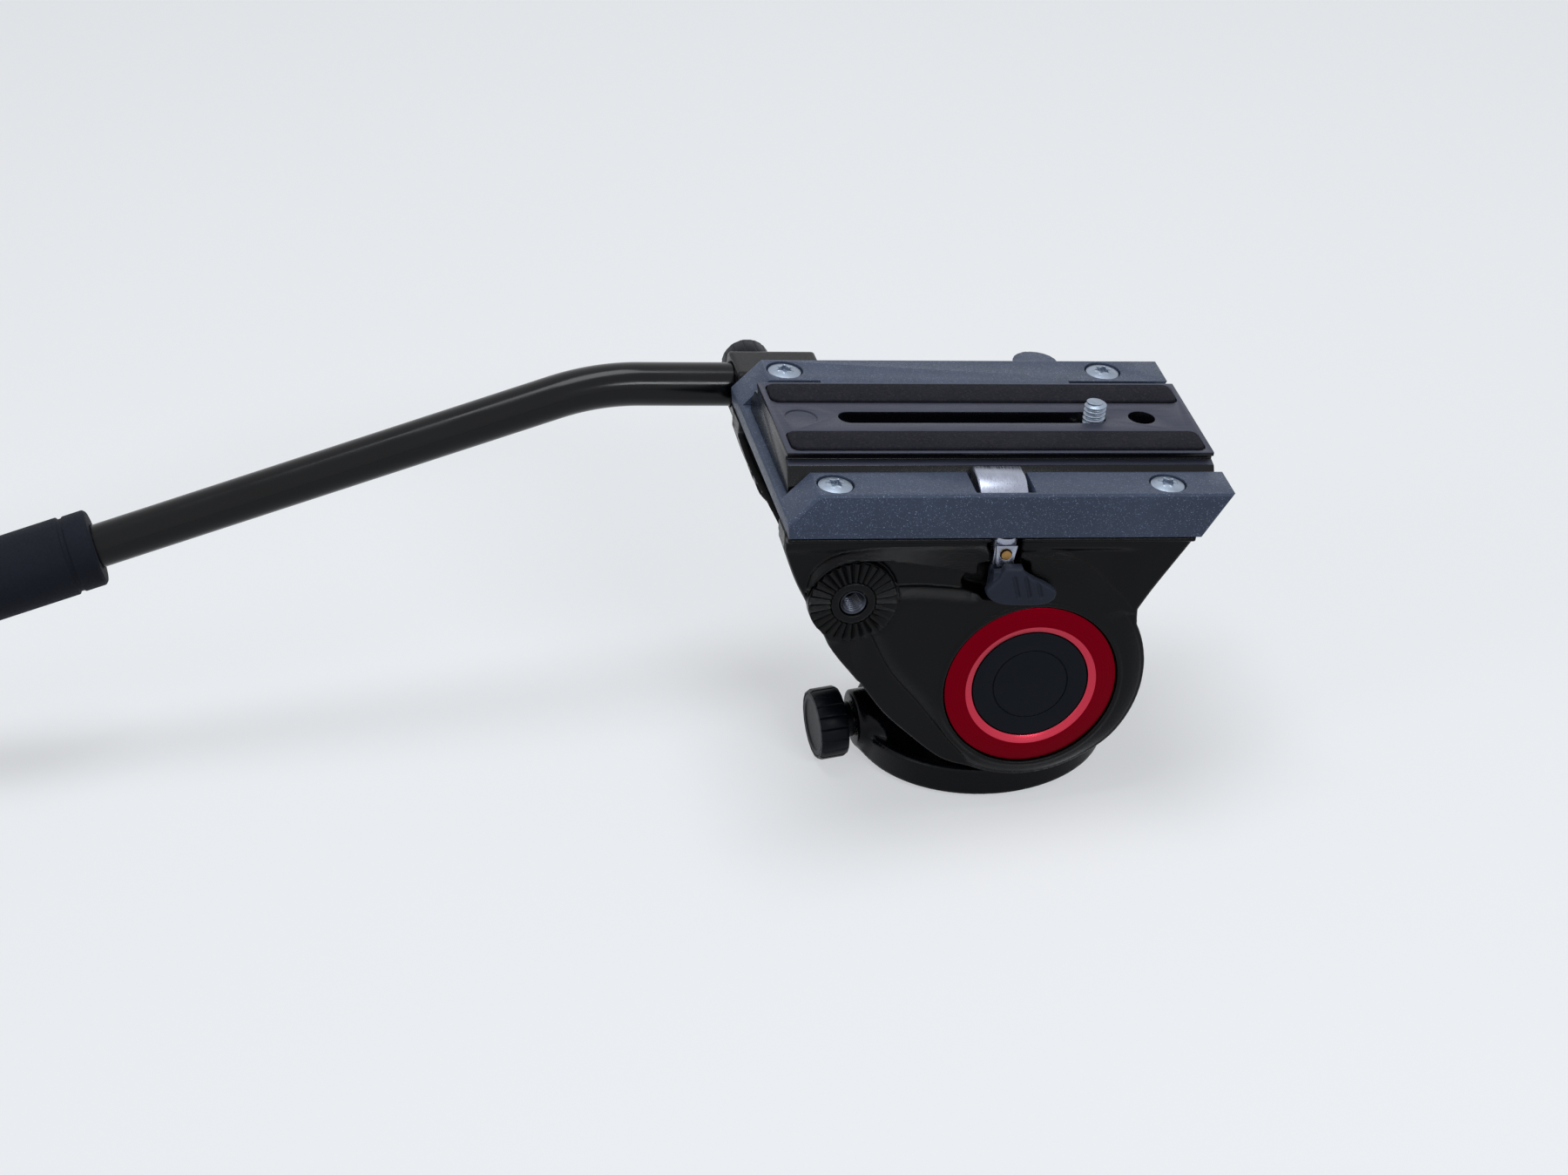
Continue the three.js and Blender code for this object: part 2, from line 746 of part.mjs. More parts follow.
place(lock, 'pan_lock_screw', lockScrew, zincSteel);
place(lock, 'pan_lock_shoe', lockShoe, brassMetal);

// Places outwards along the tilt axis, the same on both sides
const hubInner = barrelHalfLength + slideGap;
const cartridgeBack = hubInner + hubWall;
const cheekInner = dishRadius + dishSideGap;
const cartridgeDepth = cheekInner - cartridgeBack;
const tiltBushFlangeThickness = cartridgeDepth * tiltBushFlangeShare;
const rotorThickness = cartridgeDepth * rotorShare;
const axleNutThickness = cartridgeDepth * axleNutShare;
const brakePlateThickness = cartridgeDepth * brakePlateShare;
const bushFlangeOut = cartridgeBack + fitGap + tiltBushFlangeThickness;
const rotorIn = bushFlangeOut + fitGap;
const nutIn = rotorIn + rotorThickness + fitGap;
const nutOut = nutIn + axleNutThickness;
const cheekSkin = cheekInner + skinThickness;
const reliefFace = cheekSkin + reliefHeight;
const flangeFace = cheekSkin + flangeHeight;
const rosetteTip = cheekSkin + rosetteHeight;
const rimIn = cheekInner - rimDepth;
const ringBack = flangeFace - ringThickness;

// Tilt axle with its collar, and what turns with the pan body
const axle = turned('y', [
  [0, -nutOut], [axleRadius, -nutOut], [axleRadius, boreEnd + fitGap],
  [barrelBore - fitGap, boreEnd + fitGap],
  [barrelBore - fitGap, barrelHalfLength], [axleRadius, barrelHalfLength], [axleRadius, nutOut], [0, nutOut],
], tiltCentre);
const springFrom = fitGap - boreEnd;
const spring = coil(
  springRadius, springWire, springTurns, springStepsPerTurn, springFrom, boreEnd, tiltCentre);
place(standing, 'tilt_axle', axle, plainSteel);
place(standing, 'counterbalance_spring', spring, plainSteel);

function onAxle(side, radius, from, to, sides) {
  const [low, high] = side < 0 ? [-to, -from] : [from, to];
  const bore = rod('y', axleRadius + fitGap, low - overrun, high + overrun, tiltCentre);
  return cut(rod('y', radius, low, high, tiltCentre, sides), bore);
}

const rotorOut = rotorIn + rotorThickness;
place(standing, 'tilt_drag_rotor', onAxle(-1, rotorRadius, rotorIn, rotorOut, plainSides), plainSteel);
place(standing, 'tilt_brake_disc', onAxle(1, rotorRadius, rotorIn, rotorOut, plainSides), plainSteel);
place(standing, 'near_axle_nut', onAxle(-1, axleNutRadius, nutIn, nutOut, hexSides), zincSteel);
place(standing, 'far_axle_nut', onAxle(1, axleNutRadius, nutIn, nutOut, hexSides), zincSteel);

// Cheek outline and raised fields: shares of the reach behind the tilt axis and of the rise above it
const cheekBackShares = [
  [-1, 1], [-0.999, 0.898], [-0.943, 0.693], [-0.88, 0.517], [-0.817, 0.346], [-0.764, 0.203],
  [-0.649, -0.011], [-0.552, -0.201], [-0.455, -0.344], [-0.3, -0.54],
];
const cheekFrontShares = [[0.687, 0.491], [0.768, 0.628], [0.867, 0.775], [0.998, 0.968], [1, 1]];
const pocketBackShares = [
  [-0.962, 0.89], [-0.905, 0.693], [-0.845, 0.517], [-0.78, 0.346], [-0.728, 0.203], [-0.61, -0.011],
  [-0.45, -0.25], [0, -0.8],
];
const pocketFrontShares = [[0.8, -0.2], [0.62, 0.44], [0.71, 0.628], [0.81, 0.775], [0.86, 0.89]];
const raisedTopShares = [
  [0.345, 0.5], [0.3, 0.62], [0.19, 0.75], [0.05, 0.86], [-0.1, 0.93], [-0.2, 0.65], [-0.3, 0.63],
  [-0.41, 0.645], [-0.575, 0.65],
];
const ribShares = [
  [-0.915, 0.72], [-0.88, 0.82], [-0.82, 0.9], [-0.73, 0.94], [-0.62, 0.955], [-0.24, 0.955],
  [-0.225, 0.75], [-0.41, 0.83], [-0.56, 0.865], [-0.7, 0.87], [-0.79, 0.8], [-0.86, 0.68],
];
const creaseShares = [[-0.655, 0.36], [-0.54, 0.07], [-0.42, -0.14], [-0.3, -0.37], [-0.21, -0.54]];
const bandEdgeShares = [[-0.745, 0.2], [-0.635, -0.01], [-0.535, -0.2], [-0.44, -0.345], [-0.3, -0.52]];
const roundFrom = 246 * degree;
const roundTo = 393 * degree;
const roundSteps = 16;

function cheekPlaces(shares, width = cheekReach) {
  return shares.map(([x, z]) => [x * width, z * cheekRise]);
}

function roundEnd(inset, from, to) {
  return arc(cheekRound - inset, from, to, roundSteps, [0, cheekRoundRaise]);
}

const cheekOutline = [
  ...cheekPlaces(cheekBackShares), ...roundEnd(0, roundFrom, roundTo),
  ...cheekPlaces(cheekFrontShares, cheekFront),
];
const raisedOutline = [
  ...cheekPlaces(raisedTopShares), ...cheekPlaces(creaseShares), ...roundEnd(reliefInset, roundFrom, roundTo),
];
const rosetteCentre = [-rosetteBack, rosetteRaise];
const carrierScrewPlaces = [-carrierScrewBack, carrierScrewFront];

// Crests lie in one plane at the tip, valleys deepen outwards; side turns the face towards -Y or +Y
function toothedFace(side, tip) {
  const steps = toothCount * 2;
  const base = tip - toothDepth * 2;
  const rings = Array.from({ length: steps }, (_, i) => {
    const angle = halfTurn * 2 * i / steps;
    const valley = i % 2 === 0 ? 0 : toothDepth;
    const inner = tip - valley * toothInner / toothOuter;
    const section = [[toothInner, inner], [toothOuter, tip - valley], [toothOuter, base], [toothInner, base]];
    const [along, up] = [Math.cos(angle), Math.sin(angle)];
    return section.map(([radius, height]) =>
      [rosetteCentre[0] + radius * along, side * height, rosetteCentre[1] + radius * up]);
  });
  return ringed(rings, true);
}

// A strip of skin that falls from a crease to the edge of the casting
function fallingBand(side) {
  const edges = cheekPlaces(bandEdgeShares);
  const rings = cheekPlaces(creaseShares).map(([x, z], i) => {
    const [edgeX, edgeZ] = edges[i];
    return [
      [x, side * reliefFace, z], [edgeX, side * (cheekSkin - bandEdgeDrop), edgeZ],
      [edgeX, side * cheekInner, edgeZ], [x, side * cheekInner, z],
    ];
  });
  return ringed(rings, false);
}

// Both cheeks are alike but for the side that they stand on
function cheek(side) {
  const span = (from, to) => (side < 0 ? [-to, -from] : [from, to]);
  const layer = (outline, from, to, ...bevel) => slab('y', outline, ...span(from, to), ...bevel);
  const bar = (radius, from, to, centre, sides) => rod('y', radius, ...span(from, to), centre, sides);
  const flangeLow = cheekRise - flangeThickness;
  const pocket = [...cheekPlaces(pocketBackShares), ...cheekPlaces(pocketFrontShares, cheekFront)];
  const shell = cut(
    layer(cheekOutline, rimIn, cheekSkin, skinBevel),
    layer(pocket, rimIn - overrun, cheekInner),
    bar(rimClearRadius, rimIn - overrun, cheekInner, [0, 0], fineSides),
  );
  const flange = layer([
    [-cheekReach, cheekRise], [-cheekReach, flangeLow + rimWidth], [-cheekReach + rimWidth / 2, flangeLow],
    [cheekFront - rimWidth, flangeLow], [cheekFront, cheekRise],
  ], flangeFace - flangeDepth, flangeFace);
  const webLow = hubRadius * webLowShare;
  const web = block(-webBack, webFront, ...span(rimIn, cheekInner + overrun), webLow, flangeLow + overrun);
  const hub = bar(hubRadius, hubInner, cheekSkin, [0, 0], fineSides);
  const raised = layer(raisedOutline, cheekInner, reliefFace, reliefBevel, reliefSlope);
  const rib = layer(cheekPlaces(ribShares), cheekInner, reliefFace, reliefBevel, reliefSlope);
  const rosette = [
    bar(rosetteRadius, cheekInner, rosetteTip - toothDepth, rosetteCentre, fineSides),
    bar(rosetteHub, cheekInner, rosetteTip, rosetteCentre),
    bar(insertRadius + insertSleeve, rosetteTip - insertSink - insertLength, cheekSkin, rosetteCentre),
    toothedFace(side, rosetteTip),
  ];
  const inside = layer(cheekOutline, hubInner, cheekSkin);
  const screwPlaces = carrierScrewPlaces.map((x) => [x, side * carrierScrewOut]);
  const bosses = screwPlaces.map((at) =>
    rod('z', screwBossRadius, flangeLow - screwBossDepth, flangeLow + overrun, at).intersect(inside));
  const screwHoles = screwPlaces.map((at) => rod('z', carrierScrewShank + fitGap,
    cheekRise - carrierScrewGrip - fitGap, cheekRise + overrun, at, smallSides));
  const bores = [
    bar(ringRadius + fitGap, ringBack - fitGap, rosetteTip, [0, 0], fineSides),
    bar(cartridgeRadius + fitGap, cartridgeBack, rosetteTip, [0, 0], plainSides),
    bar(tiltBushRadius + fitGap, hubInner - overrun, cartridgeBack + overrun),
    bar(insertRadius + fitGap, 0, rosetteTip + overrun, rosetteCentre),
  ];
  const body = join(shell, flange, web, hub, raised, rib, fallingBand(side), ...rosette, ...bosses);
  return cut(body, ...bores, ...screwHoles);
}

// The near cheek has a pocket in which the clamp shaft and its lever turn
function nearCheek() {
  const pocketIn = clampOut - clampPocketBackGap;
  const pocketLow = leverTop - clampPocketLow;
  const outside = cheekSkin + overrun + flangeHeight;
  const shoulder = leverTop - leverFan * (1 - neckShare);
  const pocket = join(
    rod('z', clampPocketRadius, pocketLow, shoulder, [-clampBack, -clampOut]),
    rod('z', neckPocketRadius, pocketLow, cheekRise - flangeThickness, [-clampBack, -clampOut]));
  const kept = block(-cheekReach, cheekFront, -outside, -pocketIn, pocketLow, cheekRise);
  const sweep = Math.hypot(tongueHalfWidth, shaftRadius) + flangeSlotMargin;
  const well = rod('z', sweep, pocketLow, cheekRise + overrun, [-clampBack, -clampOut]);
  return cut(cheek(-1), pocket.intersect(kept), well);
}

place(head, 'near_cheek', nearCheek(), blackCasting);
place(head, 'far_cheek', cheek(1), blackCasting);

// Bushes, drag cup and metal inserts, seated in the cheeks
function tiltBush(side) {
  const profile = [
    [axleRadius + fitGap, hubInner], [tiltBushRadius, hubInner], [tiltBushRadius, cartridgeBack + fitGap],
    [tiltBushFlange, cartridgeBack + fitGap], [tiltBushFlange, bushFlangeOut],
    [axleRadius + fitGap, bushFlangeOut],
    [axleRadius + fitGap, hubInner],
  ];
  return turned('y', profile.map(([radius, place]) => [radius, side * place]));
}

function rosetteInsert(side) {
  const outer = rosetteTip - insertSink;
  const [low, high] = side < 0 ? [-outer, insertLength - outer] : [outer - insertLength, outer];
  return pipe('y', insertRadius, insertBore, low, high, rosetteCentre, middleSides);
}

const cupBack = nutOut + fitGap;
const cupFront = ringBack - fitGap;
const cupMouth = cartridgeBack + fitGap;
const cupInner = cartridgeRadius - cupWall;
const dragCup = turned('y', [
  [0, -cupFront], [cartridgeRadius, -cupFront], [cartridgeRadius, -cupMouth], [cupInner, -cupMouth],
  [cupInner, -cupBack], [0, -cupBack],
], [0, 0], plainSides);
place(head, 'near_tilt_bush', tiltBush(-1), brassMetal);
place(head, 'far_tilt_bush', tiltBush(1), brassMetal);
place(head, 'near_rosette_insert', rosetteInsert(-1), zincSteel);
place(head, 'far_rosette_insert', rosetteInsert(1), zincSteel);
place(head, 'tilt_drag_cup', dragCup, plainSteel);

// Ring and cap of the near side
const ledgeRadius = ringInner - ringLedge;
const ledgeFace = ringBack + ringLedgeThickness;
const ringBody = turned('y', [
  [ledgeRadius, -ringBack], [ringRadius, -ringBack], [ringRadius, -flangeFace],
  [ringInner + ringBevelWidth, -flangeFace], [ringInner, -flangeFace + ringBevelDepth],
  [ringInner, -ledgeFace],
  [ledgeRadius, -ledgeFace], [ledgeRadius, -ringBack],
], [0, 0], fineSides);
const capFace = flangeFace - ringBevelDepth;
const capOuterRadius = ringInner - fitGap;
const capBody = turned('y', [
  [0, -capFace], [capGrooveRadius, -capFace], [capGrooveRadius, -capFace + capGrooveDepth],
  [capGrooveRadius + capGrooveWidth, -capFace + capGrooveDepth], [capGrooveRadius + capGrooveWidth, -capFace],
  [capOuterRadius, -capFace], [capOuterRadius, -ledgeFace - fitGap],
  [ledgeRadius - fitGap, -ledgeFace - fitGap],
  [ledgeRadius - fitGap, -ringBack], [0, -ringBack],
], [0, 0], fineSides);
place(head, 'red_ring', ringBody, redAnodised);
place(head, 'cartridge_cap', capBody, blackPlastic);

// Brake, cover and lever of the tilt lock on the far side
const coverOuter = flangeFace + coverBossHeight;
const brakePlateIn = nutOut + fitGap;
const brakePlateOut = brakePlateIn + brakePlateThickness;
const brakePad = pipe('y', rotorRadius, axleNutRadius + fitGap * 2, nutIn, nutOut, [0, 0], plainSides);
const brakePlate = rod('y', rotorRadius, brakePlateIn, brakePlateOut, [0, 0], plainSides);
const hubCover = turned('y', [
  [tiltLockScrewRadius + fitGap, ringBack], [ringRadius, ringBack], [ringRadius, flangeFace],
  [coverBossRadius, flangeFace], [coverBossRadius, coverOuter], [tiltLockScrewRadius + fitGap, coverOuter],
  [tiltLockScrewRadius + fitGap, ringBack],
], [0, 0], fineSides);
const leverHubIn = coverOuter + slideGap;
const leverHubOut = leverHubIn + tiltLockHeight;
const tiltScrewOut = leverHubIn + tiltLockScrewInHub;
const tiltScrew = rod('y', tiltLockScrewRadius, brakePlateOut + fitGap, tiltScrewOut);

function tiltLockLever() {
  const turn = tiltLockBearing;
  const tip = [tiltLockArm * Math.cos(turn), tiltLockArm * Math.sin(turn)];
  const outline = [
    ...arc(tiltLockHub, turn + halfTurn / 2, turn + halfTurn * 3 / 2, smallSides),
    ...arc(tiltLockTip, turn - halfTurn / 2, turn + halfTurn / 2, smallSides - 2, tip),
  ];
  const hub = edgedRod('y', tiltLockHub, leverHubIn, leverHubOut, tiltLockEdge, [0, 0], fineSides);
  const armOut = leverHubOut - tiltLockEdge;
  const arm = slab('y', outline, armOut - tiltLockArmThickness, armOut, tiltLockEdge);
  const seat = rod('y', tiltLockScrewRadius + fitGap, 0, tiltScrewOut + fitGap);
  return cut(join(hub, arm), seat);
}

place(head, 'tilt_brake_pad', brakePad, rubber);
place(head, 'brake_pressure_plate', brakePlate, plainSteel);
place(head, 'far_hub_cover', hubCover, blackCasting);
place(head, 'tilt_lock_screw', tiltScrew, zincSteel);
place(head, 'tilt_lock_lever', tiltLockLever(), blackPlastic);

// Heights and widths of the carrier and of the plate in it
const carrierLow = cheekRise + fitGap;
const channelFloor = carrierLow + floorThickness;
const railTop = channelFloor + railHeight;
const carrierHalfWidth = flangeFace + carrierOverhang;
const plateLow = channelFloor + fitGap;
const plateTop = plateLow + plateThickness;

// Half of the plate's section: shares of its thickness, from its base up
const plateBaseShare = 0.228;
const plateRidgeShare = 0.683;
const plateNeckShares = [0.733, 0.832];
const plateShoulderShare = 0.881;
const flankLow = plateLow + plateThickness * plateBaseShare;
const flankHigh = plateLow + plateThickness * plateRidgeShare;
const plateHalfSection = [
  [plateBase, plateLow], [plateBase, flankLow], [plateRidge, flankHigh],
  ...plateNeckShares.map((share) => [plateNeck, plateLow + plateThickness * share]),
  [plateHalfWidth, plateLow + plateThickness * plateShoulderShare], [plateHalfWidth, plateTop],
];

// The stop pin's place in the far rail; its spring is drawn as short as the pulled button makes it
const stopHeight = channelFloor + stopPinRadius + fitGap;
const stopCentre = [stopAt, stopHeight];
const stopShoulder = stopPinReach + stopPinLength;
const stopSpringFrom = stopShoulder + stopTravel + fitGap;
const stopSpringTo = stopSpringFrom + stopSpringLength;

// Carrier
function carrier() {
  const body = slab('y', [
    [-carrierTopBack, railTop], [-carrierBack, carrierLow + carrierShoulderHeight],
    [-carrierFloorBack, carrierLow],
    [carrierFloorFront, carrierLow], [carrierTopFront, railTop],
  ], -carrierHalfWidth, carrierHalfWidth, carrierEdge);
  const lug = rod('z', lugRadius, carrierLow, railTop - lugTopDrop, [stopAt, lugOut]);
  const lipBase = plateBase + slideGap;
  const lipTop = plateRidge + slideGap;
  const section = [
    [-channelHalfWidth, channelFloor], [lipBase, channelFloor], [lipBase, flankLow], [lipTop, flankHigh],
    [lipTop, railTop + overrun], [-channelHalfWidth, railTop + overrun],
  ];
  const farLimit = carrierHalfWidth + overrun;
  const steps = [-1, 1].map((side) => {
    const stepIn = carrierHalfWidth - carrierStep;
    const [low, high] = side < 0 ? [-farLimit, -stepIn] : [stepIn, farLimit];
    return block(-carrierBack - overrun, carrierFloorFront + railHeight, low, high, carrierLow - overrun,
      carrierLow + carrierStepHeight);
  });
  const channels = [
    slab('x', section, -carrierBack - overrun, carrierTopFront + overrun),
    block(-carrierBack - overrun, -lipBack, 0, channelHalfWidth, channelFloor, railTop + overrun),
    block(lipFront, carrierTopFront + overrun, 0, channelHalfWidth, channelFloor, railTop + overrun),
    block(-jawCutBack, -jawCutFront, railOuterWall - carrierHalfWidth, 0, channelFloor, railTop + overrun),
    block(-underPocketBack, underPocketFront, -underPocketHalfWidth, underPocketHalfWidth,
      carrierLow - overrun, carrierLow + underPocketDepth),
  ];
  const screwCuts = [-1, 1].flatMap((side) => carrierScrewPlaces.flatMap((x) => [
    rod('z', carrierScrewRecess, railTop - carrierScrewSink, railTop + overrun, [x, side * carrierScrewOut]),
    rod('z', carrierScrewShank + fitGap, carrierLow - overrun, railTop, [x, side * carrierScrewOut],
      smallSides),
  ]));
  const shaftHole = rod('z', journalRadius + fitGap, carrierLow - overrun, channelFloor + overrun,
    [-clampBack, -clampOut]);
  const stopBores = [
    rod('y', stopPinRadius + fitGap, plateNeck, stopSpringTo + fitGap, stopCentre, smallSides),
    rod('y', stopRodRadius + fitGap, plateNeck, lugOut + lugRadius + overrun, stopCentre, smallSides),
  ];
  return cut(join(cut(body, ...steps), lug), ...channels, ...screwCuts, shaftHole, ...stopBores);
}

place(head, 'carrier', carrier(), blueGreyPaint);

// Carrier screws: domed head with a six-lobe socket
const screwSeat = railTop - carrierScrewSink + fitGap;

function carrierScrew(x, y) {
  const end = cheekRise - carrierScrewGrip;
  const crown = screwSeat + carrierScrewHeadHeight;
  const body = turned('z', [
    [0, end], [carrierScrewShank, end], [carrierScrewShank, screwSeat], [carrierScrewHead, screwSeat],
    [carrierScrewHead, crown], [carrierScrewHead * domeShares[0], crown + carrierScrewDome * domeShares[1]],
    [carrierScrewHead * domeShares[2], crown + carrierScrewDome], [0, crown + carrierScrewDome],
  ], [x, y], smallSides * 2);
  const socketLow = crown + carrierScrewDome - carrierScrewSocketDepth;
  const tips = ring(socketLobes * 2, 1).map(([a, b], i) => {
    const out = carrierScrewSocket * (i % 2 === 0 ? 1 : socketValleyShare);
    return [x + a * out, y + b * out];
  });
  return cut(body, slab('z', tips, socketLow, railTop + overrun));
}

carrierScrewPlaces.forEach((x, i) => {
  place(head, `carrier_screw_near_${i + 1}`, carrierScrew(x, -carrierScrewOut), zincSteel);
  place(head, `carrier_screw_far_${i + 1}`, carrierScrew(x, carrierScrewOut), zincSteel);
});

// Camera plate with its slot, holes, strip pockets and the groove that the stop pin runs in
const headChannelHalf = cameraScrewHead + channelClearance;
const landLow = plateTop - slotLand;

function stripOutline(side, clearance) {
  const middle = side * stripMiddle;
  const half = stripHalfWidth + clearance;
  const [back, front] = [-plateBack + stripEndInset - clearance, plateFront - stripEndInset + clearance];
  return roundedBox(back, front, middle - half, middle + half, stripCorner);
}

function cameraPlate() {
  const otherHalf = [...plateHalfSection].reverse().map(([y, z]) => [-y, z]);
  const body = slab('x', [...plateHalfSection, ...otherHalf], -plateBack, plateFront);
  const stripPockets = [-1, 1].map((side) =>
    slab('z', stripOutline(side, fitGap), plateTop - stripPocketDepth, plateTop + overrun));
  const groove = block(stopAt - plateTravelForward - stopPinRadius - sideGap,
    stopAt + plateTravelBack + stopPinRadius + sideGap, stopPinReach - fitGap, plateBase + overrun,
    plateLow - overrun, stopHeight + stopPinRadius + fitGap);
  const channelFrom = -slotBack - headChannelHalf + slotHalfWidth;
  const channelTo = slotFront + headChannelHalf - slotHalfWidth;
  return cut(body,
    slab('z', slotOutline(-slotBack, slotFront, slotHalfWidth), plateLow - overrun, plateTop + overrun),
    slab('z', slotOutline(channelFrom, channelTo, headChannelHalf), plateLow - overrun, landLow),
    rod('z', pinHoleRadius, plateLow - overrun, plateTop + overrun, [pinHoleAt, 0]),
    rod('z', markRadius, plateTop - markDepth, plateTop + overrun, [-markAt, 0]),
    groove, ...stripPockets);
}

const stripLow = plateTop - stripPocketDepth + fitGap;
place(head, 'camera_plate', cameraPlate(), plateGrey);
[-1, 1].forEach((side, i) => {
  const strip = slab('z', stripOutline(side, 0), stripLow, plateTop + stripStandOut, stripBevel);
  place(head, `plate_strip_${i + 1}`, strip, rubber);
});

// Camera screw at the front end of the slot, with its clip
const cameraScrewAt = slotFront - slotHalfWidth;
const clipTop = landLow - fitGap;
const screwHeadTop = clipTop - clipThickness - fitGap;
const screwHeadLow = screwHeadTop - cameraScrewHeadHeight;
const screwTop = plateTop + cameraScrewStandOut;

function cameraScrew() {
  const centre = [cameraScrewAt, 0];
  const body = turned('z', [
    [0, screwHeadLow], [cameraScrewHead, screwHeadLow], [cameraScrewHead, screwHeadTop],
    [cameraScrewRadius, screwHeadTop], [cameraScrewRadius, screwTop - cameraScrewDome],
    [cameraScrewRadius - cameraScrewDome, screwTop], [0, screwTop],
  ], centre, middleSides);
  const slotEnd = cameraScrewHead + overrun;
  const coinSlot = block(cameraScrewAt - slotEnd, cameraScrewAt + slotEnd,
    -coinSlotWidth / 2, coinSlotWidth / 2, screwHeadLow - overrun, screwHeadLow + coinSlotDepth);
  return cut(body, coinSlot);
}

const clip = pipe('z', cameraScrewHead, cameraScrewRadius + fitGap, clipTop - clipThickness, clipTop,
  [cameraScrewAt, 0]);
place(head, 'camera_screw', cameraScrew(), zincSteel);
place(head, 'camera_screw_clip', clip, plainSteel);

// Clamp jaw: a nose over the plate's flank, a rounded top, a slot for the crank underneath
const jawLow = channelFloor + slideGap;
const jawTop = railTop + jawRise;
const crankTop = channelFloor + crankHeight;
const crankOut = clampOut - crankArm * Math.cos(crankLead);
const crankAt = crankArm * Math.sin(crankLead) - clampBack;
const crankTravel = crankArm * (Math.cos(crankLead) - Math.cos(crankLead + clampTurn));

function clampJaw() {
  const outer = carrierHalfWidth - railOuterWall - crankTravel - fitGap;
  const flankRun = (plateBase - jawNose) / (plateBase - plateRidge);
  const noseHeight = flankLow + (flankHigh - flankLow) * flankRun;
  const depth = outer - jawNose;
  const height = jawTop - jawLow;
  const section = [
    [-plateBase - jawFlankGap, jawLow], [-plateBase - jawFlankGap, flankLow],
    [-jawNose, noseHeight + jawFlankGap],
    [-jawNose, jawTop], ...jawTopShares.map(([y, z]) => [-jawNose - depth * y, jawLow + height * z]),
    [-outer, jawLow],
  ];
  const body = slab('x', section, -jawBack, -jawFront, jawEdge);
  const turnedX = crankArm * Math.sin(crankLead + clampTurn) - clampBack;
  const room = crankRadius + crankRoom;
  const slot = block(crankAt - room, turnedX + room, -crankOut - room, -crankOut + room,
    jawLow - overrun, crankTop + fitGap);
  return cut(body, slot);
}

place(head, 'clamp_jaw', clampJaw(), zincSteel);

// Clamp shaft: flattened at the front for the tongue, with a crank pin under the jaw
const clampCentre = [-clampBack, -clampOut];
const shaftLow = carrierLow - shaftDrop;
const tongueTop = carrierLow - tongueDrop;
const tongueLow = tongueTop - tongueLength;
const tongueOut = clampOut + shaftRadius;
const tongueIn = tongueOut - tongueThickness;
const rivetCentre = [-clampBack, tongueTop - rivetDrop];

function clampShaft() {
  const body = rod('z', shaftRadius, shaftLow, carrierLow - fitGap, clampCentre);
  const journal = rod('z', journalRadius, carrierLow - overrun, channelFloor - fitGap / 2, clampCentre);
  const crank = rod('z', crankRadius, channelFloor - overrun, crankTop, [crankAt, -crankOut], smallSides);
  const flat = block(-clampBack - tongueOut, -clampBack + tongueOut, -tongueOut - overrun, fitGap - tongueIn,
    shaftLow - overrun, tongueTop + fitGap);
  const rivetHole = rod('y', rivetRadius + fitGap, -tongueOut, -clampOut, rivetCentre, smallSides);
  return cut(join(body, journal, crank), flat, rivetHole);
}

// Thumb lever: a fan with diagonal grooves, and a boss behind it that takes the tongue
const fanShares = [
  [0.22, 0.98], [0.47, 0.98], [0.52, 0.83], [0.67, 0.67], [0.87, 0.5], [0.99, 0.35], [1, 0.22], [0.96, 0.1],
  [0.81, 0], [0.42, 0], [0.2, 0.04], [0.05, 0.18], [0, 0.34], [0.03, 0.46], [0.15, 0.7],
];
const leverIn = tongueOut + leverStandOff;
const leverOut = leverIn + leverThickness;
const leverLow = leverTop - leverFan;

function thumbLever() {
  const width = leverBack + leverFront;
  const outline = fanShares.map(([x, z]) => [-clampBack - leverBack + width * x, leverLow + leverFan * z]);
  const fan = slab('y', outline, -leverOut, -leverIn, leverEdge);
  const bossHalf = tongueHalfWidth + fitGap;
  const boss = block(-clampBack - bossHalf, -clampBack + bossHalf, -leverIn - leverSkin, -clampOut - fitGap,
    leverLow + leverBossRaise, shaftLow - fitGap);
  const slotHalf = bossHalf + overrun;
  const tongueSlot = block(-clampBack - slotHalf, -clampBack + slotHalf,
    -tongueOut - fitGap, fitGap - tongueIn, tongueLow - fitGap, leverTop + overrun);
  const grooves = Array.from({ length: leverGrooves }, (_, i) => {
    const run = new THREE.Matrix4().makeRotationY(leverGrooveTurn);
    const x = leverGrooveAt - clampBack + i * leverGrooveStep;
    run.setPosition(x, -leverOut, leverLow + leverFan / 2);
    const groove = rod('x', leverGrooveRadius, -leverGrooveLength / 2, leverGrooveLength / 2, [0, 0], wireSides);
    return moved(groove, run);
  });
  return cut(join(fan, boss), tongueSlot, ...grooves);
}

const tongueOutline = [
  [-clampBack - tongueHalfWidth, tongueTop], [-clampBack - tongueHalfWidth * tongueTipShare, tongueLow],
  [-clampBack + tongueHalfWidth * tongueTipShare, tongueLow], [-clampBack + tongueHalfWidth, tongueTop],
];
const tongue = cut(slab('y', tongueOutline, -tongueOut, -tongueIn),
  rod('y', rivetRadius + fitGap, -tongueOut - overrun, -tongueIn + overrun, rivetCentre, smallSides));
const rivet = turned('y', [
  [0, -tongueOut - rivetHead], [rivetRadius, -tongueOut - rivetHead], [rivetRadius, -clampOut - fitGap],
  [0, -clampOut - fitGap],
], rivetCentre, smallSides);
place(head, 'clamp_shaft', clampShaft(), zincSteel);
place(head, 'clamp_tongue', tongue, zincSteel);
place(head, 'clamp_rivet', rivet, brassMetal);
place(head, 'clamp_lever', thumbLever(), blackPlastic);

